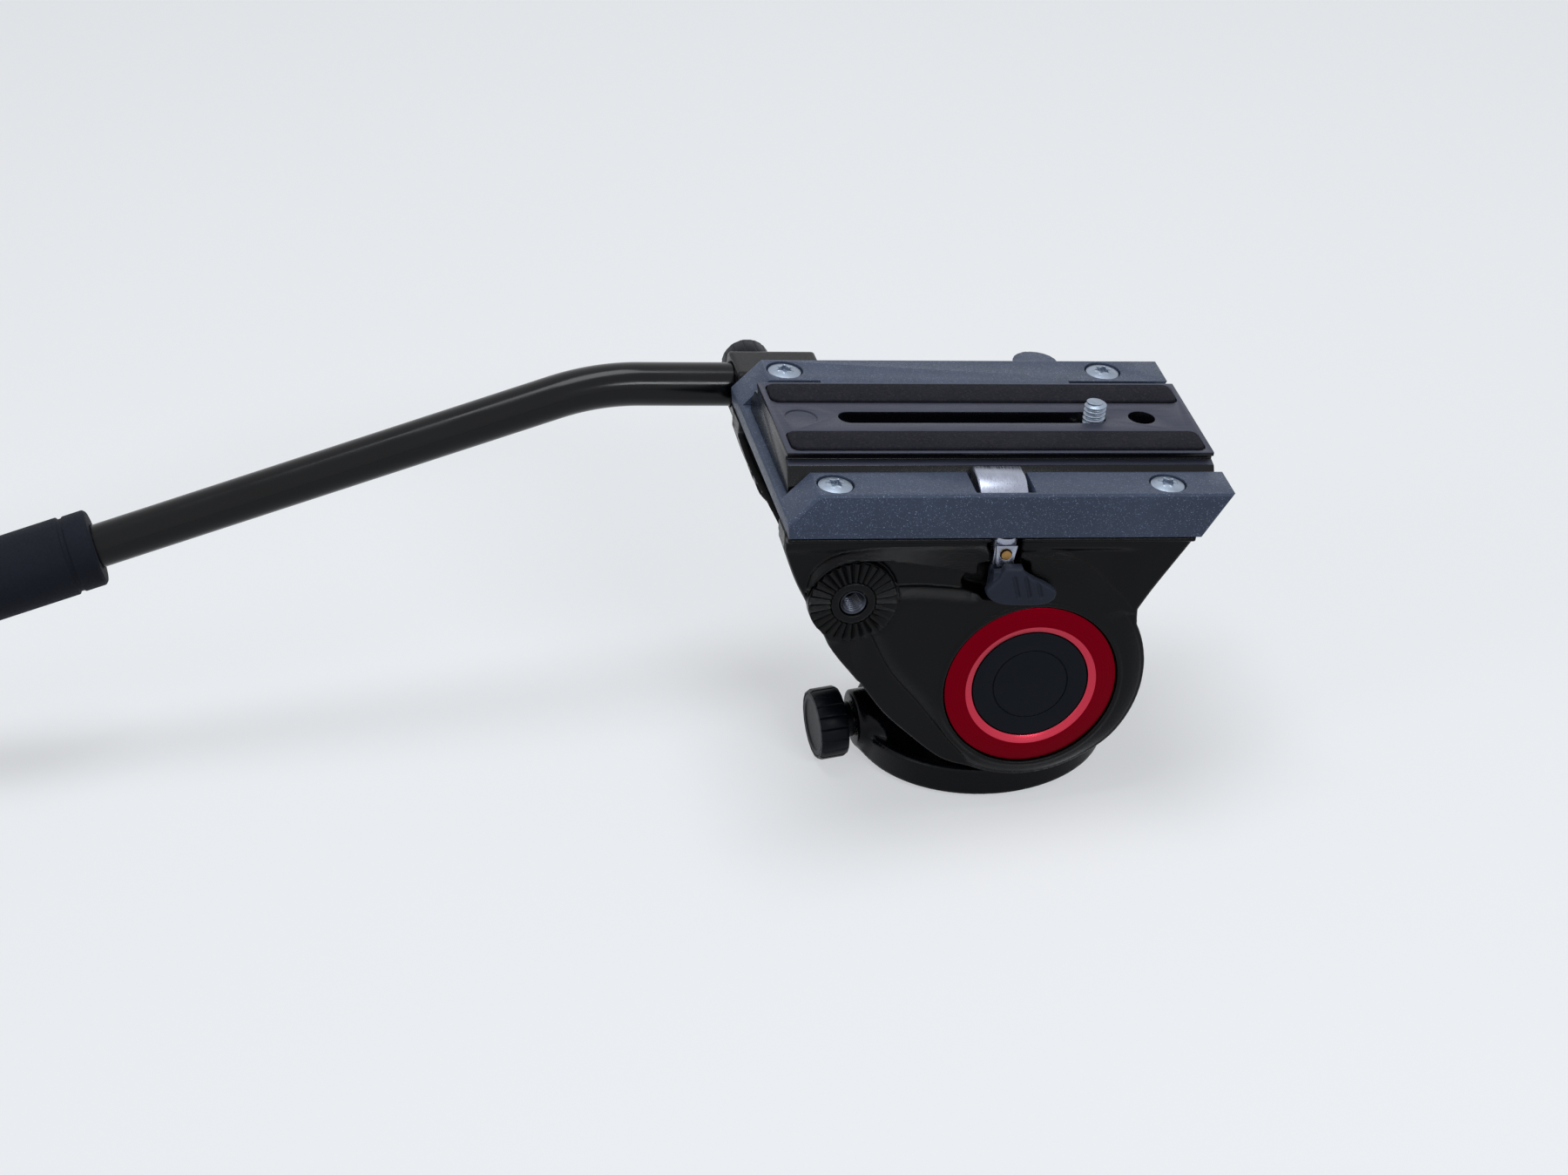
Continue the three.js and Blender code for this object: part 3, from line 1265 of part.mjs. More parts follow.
// Stop pin, its spring and its button
const stopButtonIn = lugOut + lugRadius + slideGap;
const stopPin = turned('y', [
  [0, stopPinReach], [stopPinRadius, stopPinReach], [stopPinRadius, stopShoulder],
  [stopRodRadius, stopShoulder],
  [stopRodRadius, stopButtonIn + stopTravel], [0, stopButtonIn + stopTravel],
], stopCentre, smallSides);
const stopSpringMean = stopPinRadius - stopSpringWire / 2;
const stopSpring = coil(stopSpringMean, stopSpringWire, stopSpringTurns, smallStepsPerTurn, stopSpringFrom,
  stopSpringTo, stopCentre);
const buttonOut = stopButtonIn + stopButtonThickness;
const stopButton = cut(edgedRod('y', stopButtonRadius, stopButtonIn, buttonOut, stripBevel, stopCentre),
  rod('y', stopRodRadius + fitGap, 0, stopButtonIn + stopTravel + fitGap, stopCentre, smallSides));
place(head, 'plate_stop_pin', stopPin, zincSteel);
place(head, 'plate_stop_spring', stopSpring, plainSteel);
place(head, 'plate_stop_button', stopButton, blackPlastic);

// Pan bar bracket: socket for the tube, lobe with a toothed face, web between them
const bracketFace = rosetteTip + fitGap;
const lobeBase = bracketFace + toothDepth;
const lobeOut = lobeBase + lobeThickness;
const tubeCentre = [barOut, barRaise];

function barBracket() {
  const [socketLow, socketHigh] = [barRaise - socketHalfHeight, barRaise + socketHalfHeight];
  const box = roundedBox(bracketInner, bracketOuter, socketLow, socketHigh, bracketRound);
  const socket = slab('x', box, -socketBack, -socketFront, bracketEdge);
  const boxLow = socketLow + bracketRound;
  const web = slab('y', [
    [-rosetteBack - lobeRadius, rosetteRaise], [-rosetteBack + lobeRadius, rosetteRaise],
    [-socketFront - bracketEdge, boxLow], [-socketBack + bracketEdge, boxLow],
  ], lobeBase, lobeOut);
  const lobe = rod('y', lobeRadius, lobeBase, lobeOut, rosetteCentre, fineSides);
  const lobeHub = rod('y', rosetteHub, bracketFace, lobeOut, rosetteCentre);
  return cut(join(socket, web, lobe, lobeHub, toothedFace(-1, -bracketFace)),
    rod('x', tubeRadius + fitGap, -socketBack - overrun, -tubeStart + fitGap, tubeCentre),
    rod('y', rosetteScrewRadius + fitGap, 0, lobeOut + overrun, rosetteCentre, smallSides),
    rod('y', barScrewRadius + fitGap, barOut, bracketOuter + overrun,
      [-barKnobAt, barRaise - barKnobDrop], smallSides));
}

// The tube runs straight, bends once, and runs straight on into the grip.
// Each station has a place and a direction.
class BentLine extends THREE.Curve {
  constructor(stations) {
    super();
    this.stations = stations;
  }

  getPointAt(share) {
    return this.stations[Math.round(share * (this.stations.length - 1))].place.clone();
  }

  getTangentAt(share) {
    return this.stations[Math.round(share * (this.stations.length - 1))].direction.clone();
  }
}

function station(x, z, angle) {
  return {
    place: new THREE.Vector3(x, barOut, z),
    direction: new THREE.Vector3(-Math.cos(angle), 0, -Math.sin(angle)),
  };
}

const bendRun = bendRadius * Math.tan(bendAngle / 2);
const bendCentre = [-bendAt + bendRun, barRaise - bendRadius];
const barEnd = gripFromBend + gripLength - gripEndWall - sideGap;

function barTube() {
  const bend = Array.from({ length: bendSteps + 1 }, (_, i) => {
    const angle = bendAngle * i / bendSteps;
    const [x, z] = [bendRadius * -Math.sin(angle), bendRadius * Math.cos(angle)];
    return station(bendCentre[0] + x, bendCentre[1] + z, angle);
  });
  const endAcross = -bendAt - barEnd * Math.cos(bendAngle);
  const endRaise = barRaise - barEnd * Math.sin(bendAngle);
  const end = station(endAcross, endRaise, bendAngle);
  const stations = [station(-tubeStart, barRaise, 0), ...bend, end];
  const round = (radius) => ring(tubeSides, radius).map(([a, b]) => new THREE.Vector2(a, b));
  const section = new THREE.Shape(round(tubeRadius));
  section.holes.push(new THREE.Path(round(tubeRadius - tubeWall)));
  const options = { steps: stations.length - 1, extrudePath: new BentLine(stations) };
  return solid(new THREE.ExtrudeGeometry(section, options));
}

const barKnobIn = bracketOuter + barKnobStandOff;
const barKnobCentre = [-barKnobAt, barRaise - barKnobDrop];
const barScrewOut = barKnobIn + barScrewInKnob;
const barScrewIn = barOut + tubeRadius + fitGap;
const barScrew = rod('y', barScrewRadius, barScrewIn, barScrewOut, barKnobCentre, smallSides);
const barKnob = groovedKnob('y', barKnobCentre, barKnobIn, barKnobIn + barKnobLength, knobEdge, barKnobRadius,
  knobGrooves, knobGrooveRadius,
  rod('y', barScrewRadius + fitGap, 0, barScrewOut + fitGap, barKnobCentre, smallSides));
const rosetteKnobIn = lobeOut + slideGap;
const rosetteScrewOut = rosetteKnobIn + rosetteScrewInKnob;
const rosetteScrewIn = rosetteTip - insertSink - rosetteScrewInInsert;
const rosetteScrew = rod('y', rosetteScrewRadius, rosetteScrewIn, rosetteScrewOut, rosetteCentre, smallSides);
const rosetteKnob = groovedKnob(
  'y', rosetteCentre, rosetteKnobIn, rosetteKnobIn + rosetteKnobLength, knobEdge,
  rosetteKnobRadius, knobGrooves, knobGrooveRadius,
  rod('y', rosetteScrewRadius + fitGap, 0, rosetteScrewOut + fitGap, rosetteCentre, smallSides));
place(head, 'bar_bracket', barBracket(), blackCasting);
place(head, 'bar_tube', barTube(), glossBlack);
place(head, 'bar_clamp_screw', barScrew, zincSteel);
place(head, 'bar_clamp_knob', barKnob, blackPlastic);
place(head, 'rosette_screw', rosetteScrew, zincSteel);
place(head, 'rosette_knob', rosetteKnob, blackPlastic);

// Grip, along X in a group that lies on the second straight of the bar
const grip = new THREE.Group();
grip.position.set(-bendAt, barOut, barRaise);
grip.rotation.y = halfTurn - bendAngle;
head.add(grip);
const gripEnd = gripFromBend + gripLength;
const gripBore = tubeRadius + fitGap;
const collarEnd = gripFromBend + gripCollarLength;
const grooveFloor = gripCollarRadius - gripGrooveDepth;
const gripBody = turned('x', [
  [0, barEnd + fitGap], [gripBore, barEnd + fitGap], [gripBore, gripFromBend],
  [grooveFloor, gripFromBend], [gripCollarRadius, gripFromBend + gripGrooveDepth],
  [gripCollarRadius, collarEnd], [grooveFloor, collarEnd + gripGrooveWidth / 2],
  [gripRadius, collarEnd + gripGrooveWidth],
  [gripRadius, gripEnd - gripRound], ...arc(gripRound, 0, halfTurn / 2, cornerSteps, [0, 0])
    .slice(1).map(([along, out]) => [gripRadius - gripRound + along, gripEnd - gripRound + out]),
  [0, gripEnd],
]);
place(grip, 'bar_grip', gripBody, rubber);

export default whole;
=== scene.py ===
# %% [markdown]
# # A fluid video head
# A video head carries a small camera and lets it pan and tilt smoothly. This one has a flat base, two
# cast cheeks on a tilt axle, a red ring over its drag cartridge, a sliding camera plate in a clamp, and
# one bent pan bar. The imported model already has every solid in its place, so this lesson gives each piece
# its real surface. Everything is in metres, with +Z up along the pan axis and +X towards the front of the
# camera plate.

# %% The frame
import math
import bmesh
import bpy
import numpy as np
from mathutils import Matrix, Vector


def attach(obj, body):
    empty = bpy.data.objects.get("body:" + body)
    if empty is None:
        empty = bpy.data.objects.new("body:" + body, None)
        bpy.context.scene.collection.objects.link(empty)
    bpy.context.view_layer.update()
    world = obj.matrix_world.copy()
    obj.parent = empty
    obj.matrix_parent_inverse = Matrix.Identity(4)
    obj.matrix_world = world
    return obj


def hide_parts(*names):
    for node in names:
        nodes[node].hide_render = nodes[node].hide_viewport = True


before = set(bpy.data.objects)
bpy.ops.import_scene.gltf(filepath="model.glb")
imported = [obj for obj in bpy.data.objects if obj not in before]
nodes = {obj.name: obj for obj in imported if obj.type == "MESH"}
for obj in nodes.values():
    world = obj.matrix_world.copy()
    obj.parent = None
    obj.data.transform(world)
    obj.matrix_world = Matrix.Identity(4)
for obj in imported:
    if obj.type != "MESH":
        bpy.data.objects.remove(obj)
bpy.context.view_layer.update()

# %% [markdown]
# The maker's sizes are in millimetres, and the head is drawn level before it is tilted. So each piece is
# built in one of three drawing frames, and a matrix takes it to its place: "standing" for what stands on
# the base, "head" for what tilts, and "lock" for the pan lock, which points out of the body at an angle.

# %% Drawing frames
MM = 0.001
UNDERSIDE = -11.0
TILT_AXIS = (5.3, 0.0, 38.6)
REST_TILT = math.radians(7.25)
LOCK_TURN = math.radians(184.4)
STANDING = Matrix.Scale(MM, 4) @ Matrix.Translation((0, 0, UNDERSIDE))
HEAD = STANDING @ Matrix.Translation(TILT_AXIS) @ Matrix.Rotation(REST_TILT, 4, "Y")
LOCK = STANDING @ Matrix.Rotation(LOCK_TURN, 4, "Z")
print("tilt axis in metres:", tuple(HEAD.translation))

# %% [markdown]
# The camera stands where the photographer stood: to the left of the head, about a metre away, and looking
# down on it at some thirty degrees through a long lens. It was found by fitting the plate, the ring and
# the base.

# %% Camera
CAMERA_PLACE = Vector((-0.252917, -1.016863, 0.654742))
CAMERA_AIM = Vector((0.164222, 0.845812, -0.507576))
CAMERA_ROLL = math.radians(-1.2236)
CAMERA_LENS = 99.228

camera_data = bpy.data.cameras.new("camera")
camera_data.lens = CAMERA_LENS
camera_data.sensor_width = 36
camera_data.clip_end = 20
camera = bpy.data.objects.new("camera", camera_data)
bpy.context.scene.collection.objects.link(camera)
aim = CAMERA_AIM.to_track_quat("-Z", "Y").to_matrix().to_4x4()
camera.matrix_world = Matrix.Translation(CAMERA_PLACE) @ aim @ Matrix.Rotation(CAMERA_ROLL, 4, "Z")
bpy.context.scene.camera = camera
print("camera to the origin in metres:", CAMERA_PLACE.length)

# %% [markdown]
# ## Finishes
# A finish is a small graph of shader nodes. Colour, gloss and fine relief all read Object coordinates, so
# that a pattern stays on its piece. The helpers below build the graphs; the cells after them give one
# finish each.

# %% Helpers for node trees and finishes
def step(tree, kind, links=(), values=(), **settings):
    """One node, with its settings, its values by socket, and its links from other sockets."""
    made = tree.nodes.new(kind)
    for key, value in settings.items():
        setattr(made, key, value)
    for socket, value in values:
        made.inputs[socket].default_value = value
    for socket, source in links:
        tree.links.new(source, made.inputs[socket])
    return made


def calculate(tree, operation, *given):
    """The result of a Math node. Each of the given two is a socket or a number."""
    node = step(tree, "ShaderNodeMath", operation=operation)
    for slot, value in enumerate(given):
        if isinstance(value, (int, float)):
            node.inputs[slot].default_value = value
        else:
            tree.links.new(value, node.inputs[slot])
    return node.outputs[0]


def start_finish(name, color, roughness, metallic=0.0, specular=0.5):
    material = bpy.data.materials.new(name)
    material.use_nodes = True
    tree = material.node_tree
    shader = tree.nodes["Principled BSDF"]
    shader.inputs["Base Color"].default_value = (*color, 1)
    shader.inputs["Roughness"].default_value = roughness
    shader.inputs["Metallic"].default_value = metallic
    shader.inputs["Specular IOR Level"].default_value = specular
    print("finish:", name)
    return material, tree, shader, tree.nodes.new("ShaderNodeTexCoord").outputs["Object"]


def noise(tree, place, scale, detail=3.0, rough=0.5, stretch=None):
    if stretch is not None:
        place = step(tree, "ShaderNodeMapping", [("Vector", place)], [("Scale", stretch)]).outputs["Vector"]
    sizes = [("Scale", scale), ("Detail", detail), ("Roughness", rough)]
    return step(tree, "ShaderNodeTexNoise", [("Vector", place)], sizes).outputs["Fac"]


def random_cells(tree, place, scale, channel):
    """A random number for each cell of a Voronoi texture."""
    cells = step(tree, "ShaderNodeTexVoronoi", [("Vector", place)], [("Scale", scale)])
    return step(tree, "ShaderNodeSeparateColor", [("Color", cells.outputs["Color"])]).outputs[channel]


def spread(tree, value, low, high, to_low, to_high):
    limits = [("From Min", low), ("From Max", high), ("To Min", to_low), ("To Max", to_high)]
    return step(tree, "ShaderNodeMapRange", [("Value", value)], limits).outputs["Result"]


def blend_colors(tree, factor, first, second):
    mix = step(tree, "ShaderNodeMix", [("Factor", factor)], data_type="RGBA")
    for socket, value in (("A", first), ("B", second)):
        target = [s for s in mix.inputs if s.name == socket and s.type == "RGBA"][0]
        if isinstance(value, tuple):
            target.default_value = (*value, 1)
        else:
            tree.links.new(value, target)
    return [s for s in mix.outputs if s.type == "RGBA"][0]


def two_tone(tree, value, low, high, color, darker, lighter):
    """The colour times one share where the value is low, and times another where it is high."""
    tones = [tuple(min(1.0, channel * share) for channel in color) for share in (darker, lighter)]
    return blend_colors(tree, spread(tree, value, low, high, 0, 1), *tones)


def wire(tree, shader, color, roughness, height, strength, depth):
    """Links a finish's colour and roughness to the shader, with a relief of a depth in metres."""
    bump = step(tree, "ShaderNodeBump", [("Height", height)], [("Strength", strength), ("Distance", depth)])
    tree.links.new(color, shader.inputs["Base Color"])
    tree.links.new(roughness, shader.inputs["Roughness"])
    tree.links.new(bump.outputs["Normal"], shader.inputs["Normal"])


def linear(red, green, blue):
    """A colour as a screen shows it, 0 to 255, as the linear one that a shader takes."""
    shares = [value / 255 for value in (red, green, blue)]
    return tuple(s / 12.92 if s <= 0.04045 else ((s + 0.055) / 1.055) ** 2.4 for s in shares)

# %% [markdown]
# ### Black powder coat
# The cheeks are cast aluminium under a black powder coat with a fine orange-peel grain. Fine noise makes
# the grain, and the tops of the grain are a little glossier, which gives the glitter along edges that
# catch the light.

# %% Black powder coat
def powder_coat(name, color, grain, depth, rough_low, rough_high, specular):
    material, tree, shader, place = start_finish(name, color, 0.5, 0.0, specular)
    peel = noise(tree, place, grain, 2.0, 0.45)
    fine = noise(tree, place, grain * 2.7, 2.0, 0.6)
    height = calculate(tree, "ADD", peel, fine)
    wire(tree, shader, two_tone(tree, noise(tree, place, 45), 0.35, 0.65, color, 0.8, 1.25),
         spread(tree, height, 0.75, 1.25, rough_high, rough_low), height, 0.55, depth)
    return material


black_casting = powder_coat("black_casting", linear(5, 6, 9), 1900, 0.00011, 0.15, 0.27, 0.13)
body_coat = powder_coat("body_coat", linear(8, 10, 16), 1500, 0.00004, 0.18, 0.3, 0.13)

# %% [markdown]
# ### Blue-grey sparkle paint
# The carrier is painted blue-grey with metal flakes. The flakes are small Voronoi cells: a few in a
# hundred are picked out by their random colour, and made bright and metallic.

# %% Blue-grey sparkle paint
def sparkle_paint(name, color, flake_share):
    material, tree, shader, place = start_finish(name, color, 0.42, 0.0, 0.25)
    flakes = random_cells(tree, place, 7600, "Red")
    chosen = spread(tree, flakes, 1 - flake_share, 1 - flake_share + 0.02, 0, 1)
    shade = two_tone(tree, noise(tree, place, 60, 4.0, 0.55), 0.3, 0.7, color, 0.88, 1.12)
    bright = tuple(min(1.0, c * 3 + 0.1) for c in color)
    grain = noise(tree, place, 1500, 2.0, 0.5)
    wire(tree, shader, blend_colors(tree, chosen, shade, bright), spread(tree, grain, 0.35, 0.65, 0.36, 0.52),
         grain, 0.5, 0.00012)
    tree.links.new(spread(tree, chosen, 0, 1, 0.15, 0.9), shader.inputs["Metallic"])
    return material


blue_grey_paint = sparkle_paint("blue_grey_paint", linear(66, 77, 98), 0.035)

# %% [markdown]
# ### Grey coat of the camera plate
# The plate is an aluminium extrusion, blasted and coated dark grey. Long, very faint lines run along it
# from the extrusion, under an even grain. Its sides get a glossier, near-black copy, and that dark colour is
# painted shade.

# %% Grey coat of the camera plate
def extruded_coat(name, color, metallic, rough_low, specular):
    material, tree, shader, place = start_finish(name, color, 0.45, metallic, specular)
    lines = noise(tree, place, 900, 2.0, 0.5, stretch=(0.02, 1, 1))
    grain = noise(tree, place, 2300, 2.0, 0.5)
    wire(tree, shader, two_tone(tree, lines, 0.3, 0.7, color, 0.86, 1.1),
         spread(tree, grain, 0.3, 0.7, rough_low, rough_low + 0.16), grain, 0.35, 0.00007)
    return material


plate_grey = extruded_coat("plate_grey", linear(66, 69, 84), 0.3, 0.38, 0.25)
# The sides' copy: its lower roughness is a glossier finish, and its near-black colour is painted shade.
plate_flank_painted_shade = extruded_coat("plate_flank_painted_shade", linear(10, 11, 16), 0.0, 0.16, 0.22)

# %% [markdown]
# ### Red anodising
# The ring is turned from aluminium and anodised red, so it is a coloured metal with the faint circles
# that the lathe left. The circles come from the distance to the tilt axis, which a Mapping node brings
# upright.

# %% Red anodising
def turned_metal(name, color, roughness, centre, turn, ring_scale, depth):
    material, tree, shader, place = start_finish(name, color, roughness, 1.0)
    local = step(tree, "ShaderNodeMapping", [("Vector", place)], [("Location", centre), ("Rotation", turn)],
                 vector_type="TEXTURE")
    parts = step(tree, "ShaderNodeSeparateXYZ", [(0, local.outputs["Vector"])])
    flat = step(tree, "ShaderNodeCombineXYZ", [(axis, parts.outputs[axis]) for axis in "XY"])
    distance = step(tree, "ShaderNodeVectorMath", [(0, flat.outputs[0])], operation="LENGTH")
    circles = step(tree, "ShaderNodeTexNoise", [("W", distance.outputs["Value"])],
                   [("Scale", ring_scale), ("Detail", 3)], noise_dimensions="1D").outputs["Fac"]
    wire(tree, shader, two_tone(tree, circles, 0.25, 0.75, color, 0.9, 1.08),
         spread(tree, circles, 0.3, 0.7, roughness * 0.8, roughness * 1.25), circles, 0.3, depth)
    return material


TILT_CENTRE = tuple(HEAD.translation)
ALONG_Y = (math.radians(90), 0, 0)
red_anodised = turned_metal("red_anodised", linear(112, 2, 19), 0.3, TILT_CENTRE, ALONG_Y, 3500, 0.00004)
# The bevel's copy is smoother, as polished, and its lighter pink is a painted highlight.
red_polished_painted_highlight = turned_metal("red_polished_painted_highlight", linear(190, 56, 74), 0.22, TILT_CENTRE, ALONG_Y, 3500, 0.00002)

# %% [markdown]
# ### Plastics and rubbers
# Knobs, lever and cap are moulded plastic with a fine eroded grain. The two strips on the plate are
# rubber bonded cork: nearly black, with small brown crumbs. The grip is soft rubber with a fine grain.

# %% Moulded plastic
def moulded(name, color, rough_low, rough_high, grain=2600, depth=0.00004):
    material, tree, shader, place = start_finish(name, color, rough_low, 0.0, 0.1)
    fine = noise(tree, place, grain, 2.0, 0.5)
    wire(tree, shader, two_tone(tree, noise(tree, place, 70), 0.3, 0.7, color, 0.88, 1.12),
         spread(tree, fine, 0.3, 0.7, rough_low, rough_high), fine, 0.4, depth)
    return material


knob_plastic = moulded("knob_plastic", linear(14, 18, 25), 0.34, 0.46)
lever_plastic = moulded("lever_plastic", linear(50, 55, 68), 0.4, 0.52)
cap_plastic = moulded("cap_plastic", linear(15, 20, 28), 0.4, 0.5, 3200, 0.00002)
nylon = moulded("white_nylon", linear(216, 214, 207), 0.4, 0.5)

# %% Cork rubber of the strips
def cork_rubber(name, base, patches, crumbs):
    material, tree, shader, place = start_finish(name, base, 0.85, 0.0, 0.14)
    crumb = spread(tree, random_cells(tree, place, 1500, "Green"), 0.8, 0.95, 0, 0.7)
    patch = spread(tree, noise(tree, place, 110, 3.0, 0.6), 0.42, 0.68, 0, 1)
    ground = blend_colors(tree, patch, base, patches)
    grain = noise(tree, place, 2000, 3.0, 0.6)
    wire(tree, shader, blend_colors(tree, crumb, ground, crumbs), spread(tree, grain, 0.3, 0.7, 0.72, 0.95),
         grain, 0.5, 0.00012)
    return material


strip_rubber = cork_rubber("strip_rubber", linear(23, 24, 32), linear(30, 30, 38), linear(40, 37, 42))
grip_rubber = moulded("grip_rubber", linear(30, 33, 42), 0.6, 0.78, 1800, 0.00005)

# %% [markdown]
# ### Gloss black tube and bright metals
# The pan bar's tube has a smooth gloss black coat: a dark base and a crisp shine. Screws, jaw and shaft
# are zinc or nickel plated, with a faint cloudy variation, and the hidden steel parts are turned and left
# bare.

# %% Gloss coat and bright metals
def gloss_coat(name, color):
    material, tree, shader, place = start_finish(name, color, 0.2, 0.0, 0.22)
    waves = noise(tree, place, 90)
    wire(tree, shader, two_tone(tree, noise(tree, place, 30), 0.3, 0.7, color, 0.85, 1.15),
         spread(tree, waves, 0.3, 0.7, 0.14, 0.22), waves, 0.15, 0.00004)
    return material


def plated(name, color, roughness, stretch=None):
    material, tree, shader, place = start_finish(name, color, roughness, 1.0)
    lines = noise(tree, place, 2400, 2.0, 0.5, stretch)
    wire(tree, shader, two_tone(tree, noise(tree, place, 260, 4.0, 0.6), 0.3, 0.7, color, 0.82, 1.06),
         spread(tree, lines, 0.3, 0.7, roughness * 0.75, roughness * 1.35), lines, 0.25, 0.00003)
    return material


tube_black = gloss_coat("gloss_black", linear(8, 9, 12))
bright_zinc = plated("bright_zinc", linear(146, 157, 172), 0.4)
bright_nickel = plated("bright_nickel", linear(158, 163, 178), 0.3, stretch=(1, 0.05, 1))
bare_steel = plated("bare_steel", linear(150, 153, 158), 0.33)
dark_steel = plated("dark_steel", linear(66, 69, 78), 0.3)
brass = plated("brass", linear(158, 124, 76), 0.34)
base_steel = turned_metal("base_steel", linear(120, 123, 130), 0.34, (0, 0, 0), (0, 0, 0), 2600, 0.00004)

# %% [markdown]
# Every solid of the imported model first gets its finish, also the ones inside that are seen only when the
# head is taken apart. The pieces made below then stand in for the visible ones.

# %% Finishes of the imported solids
PLATFORM_SCREWS = ["carrier_screw_near_1", "carrier_screw_near_2", "carrier_screw_far_1",
                   "carrier_screw_far_2"]
BASE_SCREWS = ["base_screw_1", "base_screw_2", "base_screw_3"]
finish_of = {
    black_casting: ["near_cheek", "far_cheek", "far_hub_cover", "bar_bracket"],
    body_coat: ["pan_body"],
    blue_grey_paint: ["carrier"],
    plate_grey: ["camera_plate"],
    red_anodised: ["red_ring"],
    cap_plastic: ["cartridge_cap"],
    knob_plastic: ["pan_lock_knob", "tilt_lock_lever", "bar_clamp_knob", "rosette_knob", "plate_stop_button"],
    lever_plastic: ["clamp_lever"],
    strip_rubber: ["plate_strip_1", "plate_strip_2", "tilt_brake_pad"],
    grip_rubber: ["bar_grip"],
    tube_black: ["bar_tube"],
    bright_zinc: [*PLATFORM_SCREWS, *BASE_SCREWS, "retainer_screw_1", "retainer_screw_2", "retainer_screw_3",
                  "camera_screw", "rosette_screw", "bar_clamp_screw", "tilt_lock_screw", "pan_lock_screw",
                  "near_axle_nut", "far_axle_nut", "tripod_socket_bush"],
    bright_nickel: ["clamp_jaw", "clamp_shaft", "clamp_tongue", "plate_stop_pin"],
    bare_steel: ["pan_spindle", "pan_retaining_ring", "tilt_axle", "counterbalance_spring", "tilt_drag_rotor",
                 "tilt_brake_disc", "tilt_drag_cup", "brake_pressure_plate", "plate_stop_spring",
                 "camera_screw_clip"],
    dark_steel: ["near_rosette_insert", "far_rosette_insert"],
    base_steel: ["base_disc"],
    brass: ["pan_lock_shoe", "near_tilt_bush", "far_tilt_bush", "clamp_rivet"],
    nylon: ["pan_thrust_washer"],
}
for material, names in finish_of.items():
    for name in names:
        data = nodes[name].data
        data.materials.clear()
        data.materials.append(material)
missing = set(nodes) - {name for names in finish_of.values() for name in names}
print("solids without a finish:", sorted(missing))

# %% [markdown]
# ## Castings as fields
# A casting has no sharp edges: one form runs into the next with a small fillet. Joined and bevelled boxes
# hardly give that. A field does: it says for each point how far it is from the surface, below zero
# inside. Two forms are joined by the lower of their two values, and a soft lower value gives the fillet.

# %% Soft joins and cuts
def soft_join(first, second, fillet):
    share = np.clip(0.5 + 0.5 * (second - first) / fillet, 0, 1)
    return second + (first - second) * share - fillet * share * (1 - share)


def soft_common(first, second, fillet):
    return -soft_join(-first, -second, fillet)


def soft_cut(body, tool, fillet):
    return soft_common(body, -tool, fillet)


def common(*forms):
    """Where all the forms overlap, with hard edges."""
    result = forms[0]
    for form in forms[1:]:
        result = np.maximum(result, form)
    return result


def between(value, low, high):
    return np.maximum(low - value, value - high)


def round_distance(a, b, centre=(0, 0), radius=0):
    return np.sqrt((a - centre[0]) ** 2 + (b - centre[1]) ** 2) - radius


def outline_distance(outline, a, b):
    """Distance to a closed outline in the plane, below zero inside."""
    shape = np.broadcast(a, b).shape
    best = np.full(shape, np.inf)
    inside = np.zeros(shape, bool)
    for (a0, b0), (a1, b1) in zip(outline, outline[1:] + outline[:1]):
        run, rise = a1 - a0, b1 - b0
        share = np.clip(((a - a0) * run + (b - b0) * rise) / (run * run + rise * rise), 0, 1)
        best = np.minimum(best, (a - a0 - share * run) ** 2 + (b - b0 - share * rise) ** 2)
        if rise != 0:
            level = ((b0 <= b) & (b < b1)) | ((b1 <= b) & (b < b0))
            inside ^= level & (a < a0 + (b - b0) * run / rise)
    return np.where(inside, -1.0, 1.0) * np.sqrt(best)

# %% [markdown]
# A net over the grid turns the field into a mesh: each grid cell that the surface crosses gets one point,
# and each crossed grid edge gets one face between its four cells. Two small steps then bring the points
# on to the surface.

# %% A skin over a field
def cells_of(values):
    inside = values < 0
    cell_shape = tuple(n - 1 for n in values.shape)
    total = int(np.prod(cell_shape))
    sums = np.zeros((3, total))
    counts = np.zeros(total)
    quads = []
    for axis in range(3):
        others = ((axis + 1) % 3, (axis + 2) % 3)
        near = [slice(None)] * 3
        far = [slice(None)] * 3
        near[axis], far[axis] = slice(0, -1), slice(1, None)
        crossed = inside[tuple(near)] != inside[tuple(far)]
        start = np.argwhere(crossed)
        value_near, value_far = values[tuple(near)][crossed], values[tuple(far)][crossed]
        place = start.astype(float)
        place[:, axis] += value_near / (value_near - value_far)
        corners = []
        for back_a, back_b in ((0, 0), (1, 0), (1, 1), (0, 1)):
            cell = start.copy()
            cell[:, others[0]] -= back_a
            cell[:, others[1]] -= back_b
            flat = np.ravel_multi_index(cell.T, cell_shape, mode="clip")
            corners.append(flat)
            counts += np.bincount(flat, minlength=total)
            for k in range(3):
                sums[k] += np.bincount(flat, weights=place[:, k], minlength=total)
        faces = np.stack(corners, 1)
        leaving = value_near >= 0
        faces[leaving] = faces[leaving][:, ::-1]
        quads.append(faces)
    used = np.flatnonzero(counts)
    number = np.full(total, -1)
    number[used] = np.arange(len(used))
    return (sums[:, used] / counts[used]).T, number[np.concatenate(quads)]


